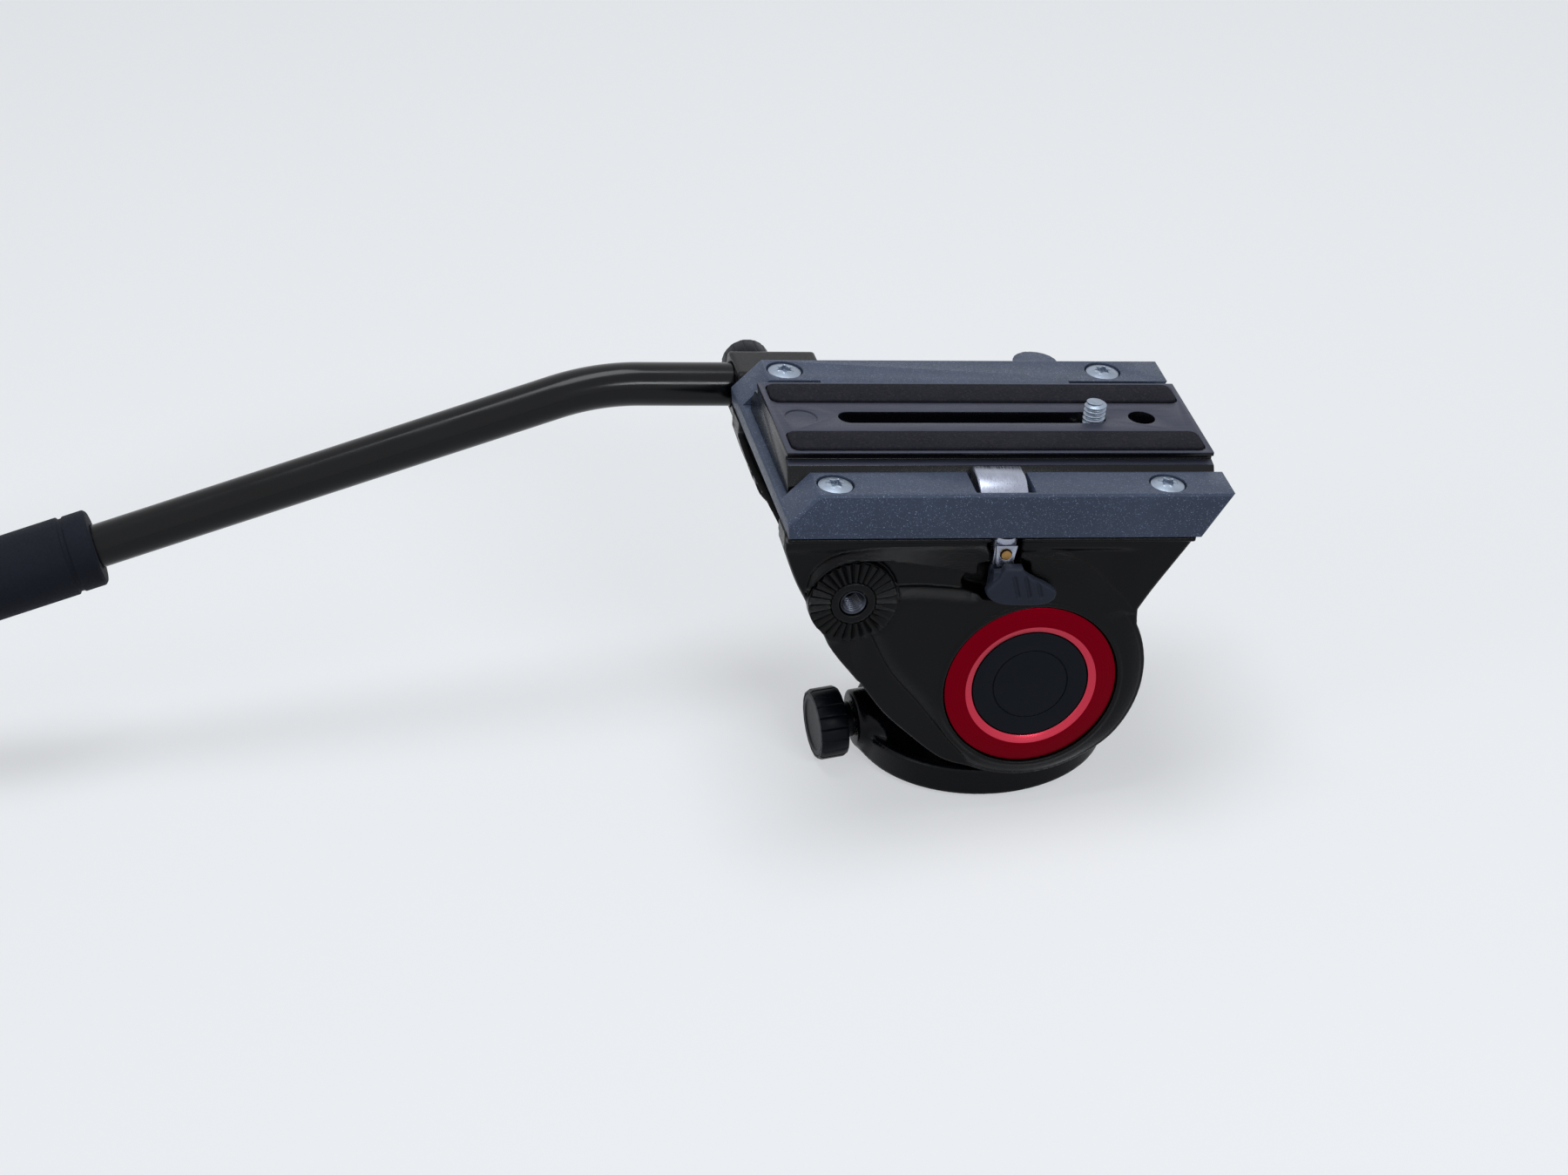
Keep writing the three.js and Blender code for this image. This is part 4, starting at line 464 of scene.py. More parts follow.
def skin(field, low, high, step_size):
    """Points in millimetres and faces of the surface where the field is zero."""
    low, high = np.array(low, float), np.array(high, float)
    sizes = [int(math.ceil((high[k] - low[k]) / step_size)) + 1 for k in range(3)]
    grid = [(low[k] + step_size * np.arange(sizes[k])) for k in range(3)]
    values = field(grid[0][:, None, None], grid[1][None, :, None], grid[2][None, None, :])
    points, faces = cells_of(np.broadcast_to(values, sizes))
    points = low + step_size * points
    reach = step_size / 20
    for _ in range(2):
        here = field(points[:, 0], points[:, 1], points[:, 2])
        slope = np.stack([(field(*(points + offset).T) - field(*(points - offset).T)) / (2 * reach)
                          for offset in np.eye(3) * reach], 1)
        steep = np.maximum((slope ** 2).sum(1, keepdims=True), 0.25)
        points -= np.clip(here[:, None] * slope / steep, -step_size / 2, step_size / 2)
    return points, faces

# %% [markdown]
# Each finished piece is one mesh with its points in metres and its object at the origin. The helper also
# says which finish it has, which body it rides on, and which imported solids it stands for.

# %% Finished pieces
def make_mesh(name, points, faces, matrix):
    mesh = bpy.data.meshes.new(name)
    points = np.asarray(points, float).tolist()
    mesh.from_pydata(points, [], [[int(i) for i in face] for face in faces])
    mesh.transform(matrix)
    mesh.validate()
    return mesh


def reshape(mesh, change):
    """Opens the mesh, lets a function change it, and writes it back."""
    shell = bmesh.new()
    shell.from_mesh(mesh)
    change(shell)
    shell.to_mesh(mesh)
    shell.free()


def tidy_shell(mesh):
    """Doubles merged and faces turned outwards."""
    def change(shell):
        bmesh.ops.remove_doubles(shell, verts=shell.verts, dist=2e-7)
        bmesh.ops.dissolve_degenerate(shell, edges=shell.edges, dist=1e-7)
        bmesh.ops.recalc_face_normals(shell, faces=shell.faces)
    reshape(mesh, change)


def shade_by_angle(mesh, crease):
    """Smooth shading, but sharp where two faces meet at more than the crease angle."""
    def change(shell):
        for edge in shell.edges:
            edge.smooth = len(edge.link_faces) == 2 and edge.calc_face_angle(0) < crease
    reshape(mesh, change)


def finished(name, mesh, material, body, stands_for, crease=None):
    """A mesh as a piece on a body; the crease is in degrees, and without one it is smooth all over."""
    piece = bpy.data.objects.new(name, mesh)
    bpy.context.scene.collection.objects.link(piece)
    mesh.materials.clear()
    mesh.materials.append(material)
    mesh.shade_smooth()
    if crease is not None:
        shade_by_angle(mesh, math.radians(crease))
    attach(piece, body)
    if stands_for:
        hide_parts(*stands_for)
    print(name, "triangles:", sum(len(face.vertices) - 2 for face in mesh.polygons))
    return piece


def field_piece(name, field, low, high, fine, material, body, stands_for, matrix=HEAD, side=1):
    points, faces = skin(field, low, high, fine)
    if side < 0:
        points, faces = points * (1, -1, 1), faces[:, ::-1]
    return finished(name, make_mesh(name, points, faces, matrix), material, body, stands_for)


def shell_piece(name, shape, matrix, material, body, stands_for, crease):
    """A piece from the points and faces of a closed shell."""
    mesh = make_mesh(name, *shape, matrix)
    tidy_shell(mesh)
    return finished(name, mesh, material, body, stands_for, crease)

# %% [markdown]
# ### The cheeks
# Both cheeks are one casting pattern, left and right. Seen from outside: a flange on top carries the
# platform, a raised pod surrounds the cartridge, a leaf runs from behind the rosette to the clamp lever,
# and a band falls from a crease to the rear edge. The outline is drawn as a few points and smoothed.

# %% Cheek outlines
CHEEK_REACH, CHEEK_RISE, CHEEK_FRONT = 73.4, 46.2, 40.6
SKIN_FACE, INNER_FACE, RIM_IN, HUB_IN = 38.0, 34.9, 28.0, 20.0
HUB_RADIUS, RING_RADIUS, CARTRIDGE_RADIUS = 27.4, 24.3, 21.4


def arc(radius, start, end, steps, centre=(0, 0)):
    turns = [start + (end - start) * i / steps for i in range(steps + 1)]
    return [(centre[0] + radius * math.cos(t), centre[1] + radius * math.sin(t)) for t in turns]


def flowing(points, steps=6):
    """A smooth line through the points."""
    ends = [points[0], *points, points[-1]]
    line = []
    for around in zip(ends, ends[1:], ends[2:], ends[3:]):
        for t in [i / steps for i in range(steps)]:
            spot = []
            for p, q, r, s in zip(*around):
                bend, twist = 2 * p - 5 * q + 4 * r - s, 3 * q - p - 3 * r + s
                spot.append(0.5 * (2 * q + (r - p) * t + bend * t * t + twist * t ** 3))
            line.append(tuple(spot))
    return line + [points[-1]]


cheek_back = flowing([(-73.3, 41.5), (-69.2, 32), (-64.6, 23.9), (-60, 16), (-56.1, 9.4), (-47.6, -0.5),
                      (-40.5, -9.3), (-33.4, -15.9), (-22, -24.9), (-13.3, -27.8)])
cheek_round = arc(32.6, math.radians(246), math.radians(393), 40, (0, 2))
cheek_front = flowing([(27.9, 22.7), (31.2, 29), (35.2, 35.8), (40.5, 44.7)])
cheek_outline = [(-CHEEK_REACH, CHEEK_RISE), *cheek_back, *cheek_round[2:-1], *cheek_front,
                 (CHEEK_FRONT, CHEEK_RISE)]
crease_line = flowing([(-50, 21.5), (-46, 14), (-39.6, 3.2), (-30.8, -6.5), (-22, -17.1), (-14, -26)], 4)
pod_outline = [
    *flowing([(-46, 30.2), (-34, 30.6), (-22, 29.6), (-19, 30.5), (-15, 40.5), (-6, 42.4), (0, 41.4),
              (8, 39.4), (14, 35.6), (19, 30.6), (24, 26), (27.3, 21.5)], 5),
    *arc(31.5, math.radians(38), math.radians(-112), 30, (0, 2)), *reversed(crease_line),
]
leaf_crest = flowing([(-66.2, 29.5), (-64.4, 33), (-60.2, 37.3), (-55.5, 39.1), (-50, 39.7), (-41.4, 38.9),
                      (-30.5, 37.3), (-22.7, 35.9), (-17.4, 35.1), (-15.8, 35.9), (-15.3, 38),
                      (-15.2, 42)], 4)
leaf_top = flowing([(-66.6, 29), (-65.7, 34.6), (-62.8, 38.4), (-58.6, 40.8), (-53, 42), (-47, 42.6),
                    (-34, 42.9), (-15.2, 43)], 4)
above_crest = [*leaf_crest, (-15.2, 60), (-90, 60), (-90, 29.5)]
above_leaf = [*leaf_top, (-15.2, 60), (-90, 60), (-90, 29)]
behind_crease = [*crease_line, (-80, -60), (-80, 21.5)]
print("outline points:", len(cheek_outline), len(pod_outline), len(above_crest))

# %% [markdown]
# The outer face is a distance from the middle plane. Each raised form has a slope of its own: the pod's
# shoulder rolls over several millimetres, and the leaf leans out to a crisp lower crest that catches the
# light, above a sunk channel. A thin lip runs along the top edge.

# %% The field of a cheek
ROSETTE_RISE, TOOTH = 1.8, 1.3
POD_FACE, CREST_FACE, LEAF_FACE, LIP_FACE = 39.4, 40.5, 38.2, 39.5
BACK_GROUND, FRONT_GROUND, CHANNEL_FACE, TOP_GROUND = 37.4, 36.7, 36.5, 37.9
ROSETTE = (-53.3, 26.6)
CLAMP_SHAFT = (-12.8, 36.5)
SCREWS_BACK, SCREWS_FRONT, SCREWS_OUT = -60.8, 31.9, 33.66
POST_RADIUS, POST_HOLE, WALL, WELL_RADIUS = 4.2, 2.8, 2.4, 4.9


def ramp(value, low, high):
    share = np.clip((value - low) / (high - low), 0, 1)
    return share * share * (3 - 2 * share)


def ground_face(x, z):
    ground = BACK_GROUND + (FRONT_GROUND - BACK_GROUND) * ramp(x, -30, -10)
    ground = ground + (TOP_GROUND - ground) * ramp(x, 17, 28)
    channel = ramp(x, -54, -47) * ramp(-x, 11, 16) * ramp(-z, -41, -39)
    ground = ground + (CHANNEL_FACE - ground) * channel
    ground = ground + (TOP_GROUND - ground) * ramp(z, 40.5, 42.5)
    return ground + (LIP_FACE - TOP_GROUND) * ramp(z, 44.3, 45.0)


def outer_face(x, z):
    pod = -outline_distance(pod_outline, x, z)
    over_crest = -outline_distance(above_crest, x, z)
    under_top = outline_distance(above_leaf, x, z)
    crease = outline_distance(behind_crease, x, z)
    ground = ground_face(x, z)
    roll = 5.0 + 5.5 * ramp(x, -18, -6) * ramp(z, 14, 26)
    rolled = 1 - (1 - np.clip(pod / roll, 0, 1)) ** 2
    face = ground + (POD_FACE - ground) * (0.18 * ramp(pod, -0.3, 0.4) + 0.82 * rolled)
    high, low = np.maximum(under_top, 0), np.maximum(over_crest, 0)
    leaf = LEAF_FACE + (CREST_FACE - LEAF_FACE) * high / np.maximum(high + low, 0.1)
    on_leaf = ramp(over_crest, -0.5, 0.3) * ramp(under_top, -0.25, 0.25)
    face = np.maximum(face, ground + (leaf - ground) * on_leaf)
    band = POD_FACE - np.clip(-crease, 0, 14) * 0.3
    face = np.where(crease < 0, np.minimum(np.maximum(face, band * ramp(pod, 55, 60)), band), face)
    lip = ramp(-np.abs(round_distance(x, z) - 25.3), -0.8, -0.4)
    from_rosette = round_distance(x, z, ROSETTE)
    groove = ramp(13.2 - from_rosette, 0, 0.8) * ramp(from_rosette - 12.2, 0, 0.4)
    return face + 0.25 * lip - 0.7 * groove


def cheek_field(near):
    def field(x, w, z):
        outline = outline_distance(cheek_outline, x, z)
        from_axis = round_distance(x, z)
        from_rosette = round_distance(x, z, ROSETTE)
        body = soft_common(soft_common(outline, w - outer_face(x, z), 0.8), INNER_FACE - w, 0.6)
        wall = common(outline, -outline - WALL, 48.5 - from_axis, between(w, RIM_IN, 36))
        body = soft_join(body, wall, 0.8)
        flange = common(outline, between(z, 43.4, CHEEK_RISE), between(w, 27.0, 36.5))
        body = soft_join(body, flange, 0.7)
        web = common(between(x, -24.2, 17), between(z, 20, 43), between(w, RIM_IN, 35.6))
        body = soft_join(body, web, 1.5)
        body = soft_join(body, common(from_axis - HUB_RADIUS, between(w, HUB_IN, SKIN_FACE)), 0.9)
        screws = [round_distance(x, w, (along, SCREWS_OUT)) for along in (SCREWS_BACK, SCREWS_FRONT)]
        for from_screw in screws:
            post = common(from_screw - POST_RADIUS, between(z, 36.2, 42.5), outline, w - 37.4)
            body = soft_join(body, post, 0.8)
        disc = common(from_rosette - 12.2, between(w, INNER_FACE, SKIN_FACE + ROSETTE_RISE - TOOTH))
        hub = common(from_rosette - 6.2, between(w, INNER_FACE, SKIN_FACE + ROSETTE_RISE))
        sleeve = common(from_rosette - 5.8, between(w, 31.3, 38))
        body = soft_join(soft_join(body, np.minimum(disc, sleeve), 0.4), hub, 0.5)
        for radius, start in ((RING_RADIUS + 0.3, 36.4), (CARTRIDGE_RADIUS + 0.3, 25.0), (8.6, 0)):
            body = soft_cut(body, common(from_axis - radius, start - w), 0.35)
        body = soft_cut(body, from_rosette - 3.9, 0.3)
        for from_screw in screws:
            body = soft_cut(body, common(from_screw - POST_HOLE, 37.3 - z), 0.3)
        if near:
            from_shaft = round_distance(x, w, CLAMP_SHAFT)
            well = common(from_shaft - WELL_RADIUS, 29.0 - z)
            reach = 4.4 + 3.2 * ramp(z, 28.0, 29.8) * ramp(-z, -39.4, -38.0)
            reach = reach + 2.5 * np.exp(-((z - 31.6) / 3.0) ** 2)
            pocket = common(from_shaft - reach, between(z, 27.4, 41.2), 32.5 - w)
            body = soft_cut(soft_cut(body, pocket, 0.9), well, 0.5)
        return body
    return field

# %% The two cheek castings
for side, solid, has_clamp in ((-1, "near_cheek", True), (1, "far_cheek", False)):
    field_piece(f"{solid}_casting", cheek_field(has_clamp), (-74.6, 19.2, -31.6), (41.8, 41.2, 47.4), 0.55,
                black_casting, "tilt_head", [solid], side=side)

# %% [markdown]
# ### The pan body
# The pan body is one casting too: a round dish that turns on the base, a housing for the pan bearing, a
# column, and the barrel that holds the tilt axle. Its lock boss starts round at the knob and flares into
# the rim of the dish.

# %% The field of the pan body
DISH_FOOT, DISH_RIM = 1.3, 9.9
LOCK_HEIGHT, BOSS_RADIUS, BOSS_REACH = 11.7, 8.2, 37.6
BARREL_RADIUS, BARREL_HALF, BARREL_BORE, BODY_FILLET = 16.6, 19.6, 12.4, 2.5
HOLLOWS = [(30.6, 5.7), (19.3, 8.5), (13.7, 20.2)]
dish_section = [(-2, DISH_FOOT + 0.2), (34.7, DISH_FOOT + 0.2), (35.3, 2.0), (35.3, 9.3),
                (34.9, DISH_RIM - 0.2), (32.6, DISH_RIM - 0.2), (30.9, 8.3), (-2, 8.3)]


def body_field(x, y, z):
    from_pan = round_distance(x, y)
    along = x * math.cos(LOCK_TURN) + y * math.sin(LOCK_TURN)
    beside = y * math.cos(LOCK_TURN) - x * math.sin(LOCK_TURN)
    dish = outline_distance(dish_section, from_pan, z) - 0.2
    body = soft_join(dish, common(from_pan - 19.5, between(z, 7, 23)), BODY_FILLET)
    share = np.clip((z - 7.5) / (TILT_AXIS[2] - 7.5), 0, 1)
    middle = 2.5 + (TILT_AXIS[0] - 2.5) * share
    half = 18 + (BARREL_RADIUS - 18) * share
    column = common(np.abs(x - middle) - half, np.abs(y) - 16, between(z, 7.5, TILT_AXIS[2]))
    body = soft_join(body, column, BODY_FILLET)
    from_tilt = round_distance(x, z, TILT_AXIS[::2])
    body = soft_join(body, soft_common(from_tilt - BARREL_RADIUS, np.abs(y) - BARREL_HALF, 0.8), 3.0)
    from_lock = round_distance(beside, z, (0, LOCK_HEIGHT))
    boss = soft_common(from_lock - BOSS_RADIUS, between(along, 10, BOSS_REACH), 1.2)
    spread_out = 3.2 + 11.5 * np.clip((37.5 - along) / 9, 0, 1) ** 1.6
    flare = common(np.abs(beside) - spread_out, between(z, 4, 17.3 - 0.055 * beside ** 2), from_pan - 35.2,
                   12 - along)
    body = soft_join(body, soft_join(boss, flare, 3.0), 2.6)
    body = np.maximum(body, DISH_FOOT - z)
    for radius, top in HOLLOWS:
        body = soft_cut(body, common(from_pan - radius, z - top), 0.4)
    body = soft_cut(body, common(from_tilt - BARREL_BORE, -15.4 - y), 0.4)
    body = soft_cut(body, from_tilt - 6.3 + np.maximum(y, 0) * 9, 0.3)
    return soft_cut(body, common(from_lock - 2.8, -along), 0.3)


field_piece("pan_body_casting", body_field, (-39, -37, 0.6), (37, 37, 56.2), 0.62, body_coat,
            "pan_housing", ["pan_body"], STANDING)

# %% [markdown]
# ### Turned pieces
# A lathe makes the ring, the cap, the cover and the base: a profile of radius and height, spun about an
# axis. Where the profile turns sharply it gets a small round, because a turned edge is always broken a
# little.

# %% A lathe
def ring(radii, height, sides):
    """A level ring of points round Z. The radius is one number, or a list with one for each point."""
    if not isinstance(radii, list):
        radii = [radii] * sides
    turns = [2 * math.pi * i / sides for i in range(sides)]
    return [(radius * math.cos(turn), radius * math.sin(turn), height) for radius, turn in zip(radii, turns)]


def stack(rings, capped=False):
    """Points and faces of a wall through rings of equal counts, with a cap on both ends if wanted."""
    sides = len(rings[0])
    faces = []
    for row in range(len(rings) - 1):
        for i in range(sides):
            a, b = row * sides + i, row * sides + (i + 1) % sides
            faces.append((a, b, b + sides, a + sides))
    if capped:
        last = (len(rings) - 1) * sides
        faces += [tuple(reversed(range(sides))), tuple(range(last, last + sides))]
    return [point for points in rings for point in points], faces


def rounded(profile, radius, steps=3):
    """The profile with its inner corners rounded."""
    line = [profile[0]]
    for before, corner, after in zip(profile, profile[1:], profile[2:]):
        back = Vector(before) - Vector(corner)
        ahead = Vector(after) - Vector(corner)
        reach = min(radius, back.length / 2.2, ahead.length / 2.2)
        if reach < 1e-4 or abs(back.angle(ahead) - math.pi) < 0.05:
            line.append(corner)
            continue
        start = Vector(corner) + back.normalized() * reach
        end = Vector(corner) + ahead.normalized() * reach
        for t in [i / steps for i in range(steps + 1)]:
            line.append(tuple((1 - t) ** 2 * start + 2 * t * (1 - t) * Vector(corner) + t * t * end))
    return line + [profile[-1]]


def lathe(profile, sides, edge):
    """A profile of (radius, height) spun about Z, with its corners rounded by the edge's radius."""
    line = rounded(profile, edge) if edge else profile
    return stack([ring(radius, height, sides) for radius, height in line])


def sideways(side):
    """Turns +Z out of the head: to the near side for -1, to the far side for 1."""
    return Matrix.Rotation(math.radians(-90 * side), 4, "X")


Z_TO_X = Matrix.Rotation(math.radians(90), 4, "Y")

# %% [markdown]
# ### Ring, cap and cover
# The red ring has a wide polished bevel round its inside, whose lighter pink is a painted highlight, and
# the black cap sits a little below it, with one fine engraved circle. On the far side a plain cover closes
# the brake, under the tilt lock lever.

# %% Ring, cap and cover
RING_FACE, RING_BACK, RING_BORE, SCREW_BORE = 39.6, 36.7, 14.65, 3.3
ring_profile = [(RING_BORE, RING_BACK), (RING_RADIUS, RING_BACK), (RING_RADIUS, RING_FACE - 0.7),
                (18.4, RING_FACE), (16.45, 38.7), (16.45, 37.6), (RING_BORE, 37.6), (RING_BORE, RING_BACK)]
ring_piece = shell_piece("red_ring_turned", lathe(ring_profile, 160, 0.22), HEAD @ sideways(-1), red_anodised,
                         "tilt_head", ["red_ring"], 35)
# The bevel's faces get the lighter pink copy, which is a painted highlight.
ring_piece.data.materials.append(red_polished_painted_highlight)
for face in ring_piece.data.polygons:
    spot = HEAD.inverted() @ face.center
    face.material_index = 1 if math.hypot(spot.x, spot.z) < 18.5 and spot.y < -38.2 else 0

cap_profile = [(0, 38.7), (10.3, 38.7), (10.4, 38.35), (10.6, 38.35), (10.7, 38.7), (16.15, 38.7),
               (16.15, 37.9), (14.35, 37.9), (14.35, RING_BACK), (0, RING_BACK)]
shell_piece("cartridge_cap_moulded", lathe(cap_profile, 160, 0.12), HEAD @ sideways(-1), cap_plastic,
            "tilt_head", ["cartridge_cap"], 35)
cover_profile = [(SCREW_BORE, RING_BACK), (RING_RADIUS, RING_BACK), (RING_RADIUS, RING_FACE),
                 (11.2, RING_FACE), (10, 41.2), (SCREW_BORE, 41.2), (SCREW_BORE, RING_BACK)]
shell_piece("far_cover_cast", lathe(cover_profile, 128, 0.5), HEAD @ sideways(1), black_casting, "tilt_head",
            ["far_hub_cover"], 35)

# %% [markdown]
# ### Softened machined pieces
# The carrier, the plate and the clamp pieces have flat faces, and only their edges need work. A copy of
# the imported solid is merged, its flat triangles are dissolved into whole faces, and a Bevel modifier
# breaks each sharp edge, as the vibrating drum does to the real ones.

# %% Softened copies
def softened(node, width, material, body, segments=2):
    def whole_faces(shell):
        bmesh.ops.remove_doubles(shell, verts=shell.verts, dist=2e-6)
        bmesh.ops.dissolve_limit(shell, angle_limit=math.radians(0.8), verts=shell.verts, edges=shell.edges,
                                 use_dissolve_boundaries=False)
    source = nodes[node].data.copy()
    reshape(source, whole_faces)
    holder = bpy.data.objects.new("holder", source)
    bpy.context.scene.collection.objects.link(holder)
    bevel = holder.modifiers.new("edges", "BEVEL")
    bevel.width = width * MM
    bevel.segments = segments
    bevel.limit_method = "ANGLE"
    bevel.angle_limit = math.radians(28)
    bpy.context.view_layer.update()
    mesh = bpy.data.meshes.new_from_object(holder.evaluated_get(bpy.context.evaluated_depsgraph_get()))
    bpy.data.objects.remove(holder)
    return finished(f"{node}_softened", mesh, material, body, [node], 40)


softened("carrier", 0.5, blue_grey_paint, "tilt_head", 3)
PLATE_FLANK_TOP = 62.2
plate_piece = softened("camera_plate", 0.22, plate_grey, "sliding_plate")
plate_piece.data.materials.append(plate_flank_painted_shade)
# Faces below the top edge that are not level, the plate's sides, get the near-black copy, which is painted
# shade.
for face in plate_piece.data.polygons:
    low_enough = (HEAD.inverted() @ face.center).z < PLATE_FLANK_TOP
    face.material_index = 1 if low_enough and abs(face.normal.z) < 0.97 else 0
softened("plate_strip_1", 0.25, strip_rubber, "sliding_plate")
softened("plate_strip_2", 0.25, strip_rubber, "sliding_plate")
softened("clamp_jaw", 0.12, bright_nickel, "jaw")
softened("clamp_tongue", 0.2, bright_nickel, "clamp")
softened("clamp_shaft", 0.15, bright_nickel, "clamp")
softened("plate_stop_button", 0.3, knob_plastic, "plate_stop")

# %% [markdown]
# ## Geometry Nodes for what repeats
# Screws, knob ribs and rosette teeth repeat one small form, so each is a node tree with its sizes as
# inputs. A tree is built here, given its numbers, turned into a plain mesh, and its modifier is
# gone before the piece rides on its body.

# %% Helpers that grow a piece
def node_tree(name, sizes):
    tree = bpy.data.node_groups.new(name, "GeometryNodeTree")
    for label, kind, default in sizes:
        socket = tree.interface.new_socket(name=label, in_out="INPUT", socket_type=kind)
        socket.default_value = default
    tree.interface.new_socket(name="Geometry", in_out="OUTPUT", socket_type="NodeSocketGeometry")
    return tree, tree.nodes.new("NodeGroupInput").outputs, tree.nodes.new("NodeGroupOutput").inputs[0]


def close_tree(tree, geometry, material, output):
    real = step(tree, "GeometryNodeRealizeInstances", [("Geometry", geometry)])
    coat = step(tree, "GeometryNodeSetMaterial", [("Geometry", real.outputs[0])], [("Material", material)])
    tree.links.new(coat.outputs[0], output)


def copies(tree, spots, shape, turn, material, output):
    """One copy of a shape on each point, turned about Z by an angle for each."""
    angles = step(tree, "ShaderNodeCombineXYZ", [("Z", turn)])
    facing = step(tree, "FunctionNodeEulerToRotation", [("Euler", angles.outputs[0])])
    source = step(tree, "GeometryNodeObjectInfo", values=[("Object", shape)])
    placed = step(tree, "GeometryNodeInstanceOnPoints", [
        ("Points", spots), ("Instance", source.outputs["Geometry"]), ("Rotation", facing.outputs[0])])
    close_tree(tree, placed.outputs[0], material, output)


def grown(tree, values, matrix):
    """The mesh that a tree makes with these input values, taken to its place by the matrix."""
    empty = bpy.data.objects.new("grown", bpy.data.meshes.new("grown"))
    bpy.context.scene.collection.objects.link(empty)
    modifier = empty.modifiers.new("tree", "NODES")
    modifier.node_group = tree
    for item in tree.interface.items_tree:
        if item.in_out == "INPUT" and item.name in values:
            modifier[item.identifier] = values[item.name]
    bpy.context.view_layer.update()
    mesh = bpy.data.meshes.new_from_object(empty.evaluated_get(bpy.context.evaluated_depsgraph_get()))
    empty.modifiers.clear()
    bpy.data.objects.remove(empty)
    mesh.transform(matrix)
    return mesh

# %% [markdown]
# ### Knob ribs
# Each knob has a plain round core and flat ribs round it, with a narrow groove between two ribs. The rib
# is drawn once as a small mesh, and the tree sets it on a circle, each turned to face outwards.

# %% A rib and the tree that repeats it
def template(name, points, faces):
    """A small mesh that only a node tree uses."""
    mesh = bpy.data.meshes.new(name)
    mesh.from_pydata(points, [], faces)
    tidy_shell(mesh)
    return bpy.data.objects.new(name, mesh)


def circle_tree(name, shape, count, material):
    """A tree that sets copies of a shape round Z, each turned to face outwards."""
    tree, given, output = node_tree(name, [("Count", "NodeSocketInt", count)])
    spots = step(tree, "GeometryNodePoints", [("Count", given["Count"])])
    index = step(tree, "GeometryNodeInputIndex")
    around = calculate(tree, "MULTIPLY", index.outputs[0], 2 * math.pi)
    turn = calculate(tree, "DIVIDE", around, given["Count"])
    copies(tree, spots.outputs[0], shape, turn, material, output)
    return tree


def rib_points(radius, low, high, wide, depth, edge):
    """A rib across X: a flat top of a width, sides that lean out to its foot, and ends that slope down."""
    points = []
    count = 6
    for height, drop in ((low, depth * 0.7), (low + edge, 0), (high - edge, 0), (high, depth * 0.7)):
        for side, share, fall in ((-1, 1.28, depth), (-1, 1, 0.12), (-1, 0.8, 0), (1, 0.8, 0), (1, 1, 0.12),
                                  (1, 1.28, depth)):
            points.append((radius - max(drop, fall), side * wide / 2 * share, height))
    inner = radius - depth - 0.3
    points += [(inner, side * wide * 0.64, height) for height in (low, high) for side in (-1, 1)]
    faces = []
    for row in range(3):
        for k in range(count - 1):
            a = row * count + k
            faces.append((a, a + 1, a + count + 1, a + count))
    base = 4 * count
    faces += [(base, base + 1, 5, 4, 3, 2, 1, 0), (base + 3, base + 2, 18, 19, 20, 21, 22, 23),
              (base + 2, base, 0, 6, 12, 18), (base + 1, base + 3, 23, 17, 11, 5),
              (base, base + 2, base + 3, base + 1)]
    return points, faces


def ribbed_knob(name, radius, low, high, count, depth, matrix, body, solid, edge, dish=0.0, neck=None):
    """A ribbed knob along +X with a dished outer end. A neck is its radius and the place where it starts."""
    wide = 2 * math.pi * radius / count * 0.8
    rib = template(f"{name}_rib", *rib_points(radius, low, high, wide, depth, edge))
    ribs = grown(circle_tree(f"{name}_ribs", rib, count, knob_plastic), {"Count": count}, matrix @ Z_TO_X)
    ribs.name = name
    core = radius - depth
    foot = [(0, low)] if neck is None else [(0, neck[1]), (neck[0], neck[1]), (neck[0], low)]
    profile = [*foot, (core - 0.3, low), (core, low + 0.3), (core, high - 0.5), (core - 0.5, high),
               (core - 1.6, high), (core - 2.2, high - dish), (0, high - dish)]
    round_core = make_mesh(f"{name}_core", *lathe(profile, count * 4, 0.2), matrix @ Z_TO_X)

    def join_core(shell):
        shell.from_mesh(round_core)
        bmesh.ops.recalc_face_normals(shell, faces=shell.faces)
    reshape(ribs, join_core)
    return finished(name, ribs, knob_plastic, body, [solid], 30)


def outwards(x, z):
    """A frame in the head whose +X points away along +Y, from a place on the head."""
    return HEAD @ Matrix.Translation((x, 0, z)) @ Matrix.Rotation(math.radians(90), 4, "Z")


KNOB_SCREW = (-63.8, 45.4)
ribbed_knob("pan_lock_knob_ribbed", 10.1, 40.9, 49.0, 18, 0.8, LOCK @ Matrix.Translation((0, 0, LOCK_HEIGHT)),
            "pan_lock", "pan_lock_knob", 1.0, 0.4, (5, 38.0))
ribbed_knob("bar_clamp_knob_ribbed", 6.9, 59.7, 68.6, 14, 0.6, outwards(*KNOB_SCREW), "bar_knob",
            "bar_clamp_knob", 0.8)
ribbed_knob("rosette_knob_ribbed", 10.3, 49.0, 62.0, 18, 0.8, outwards(*ROSETTE), "arm_knob", "rosette_knob",
            0.9, 0.5)

# %% [markdown]
# ### Rosette teeth
# The pan bar can be set at any angle because its lobe and the cheek have rings of radial teeth that lock
# into each other. A tooth is a ridge that grows towards the outside. The tree repeats it round the
# rosette's centre.

# %% Teeth on the cheeks and on the bracket
TOOTH_COUNT = 28
TOOTH_IN, TOOTH_OUT = 6.4, 12.0
TOOTH_SECTION = [(-1, 1), (-0.82, 0.9), (-0.2, 0.1), (0, 0), (0.2, 0.1), (0.82, 0.9), (1, 1)]


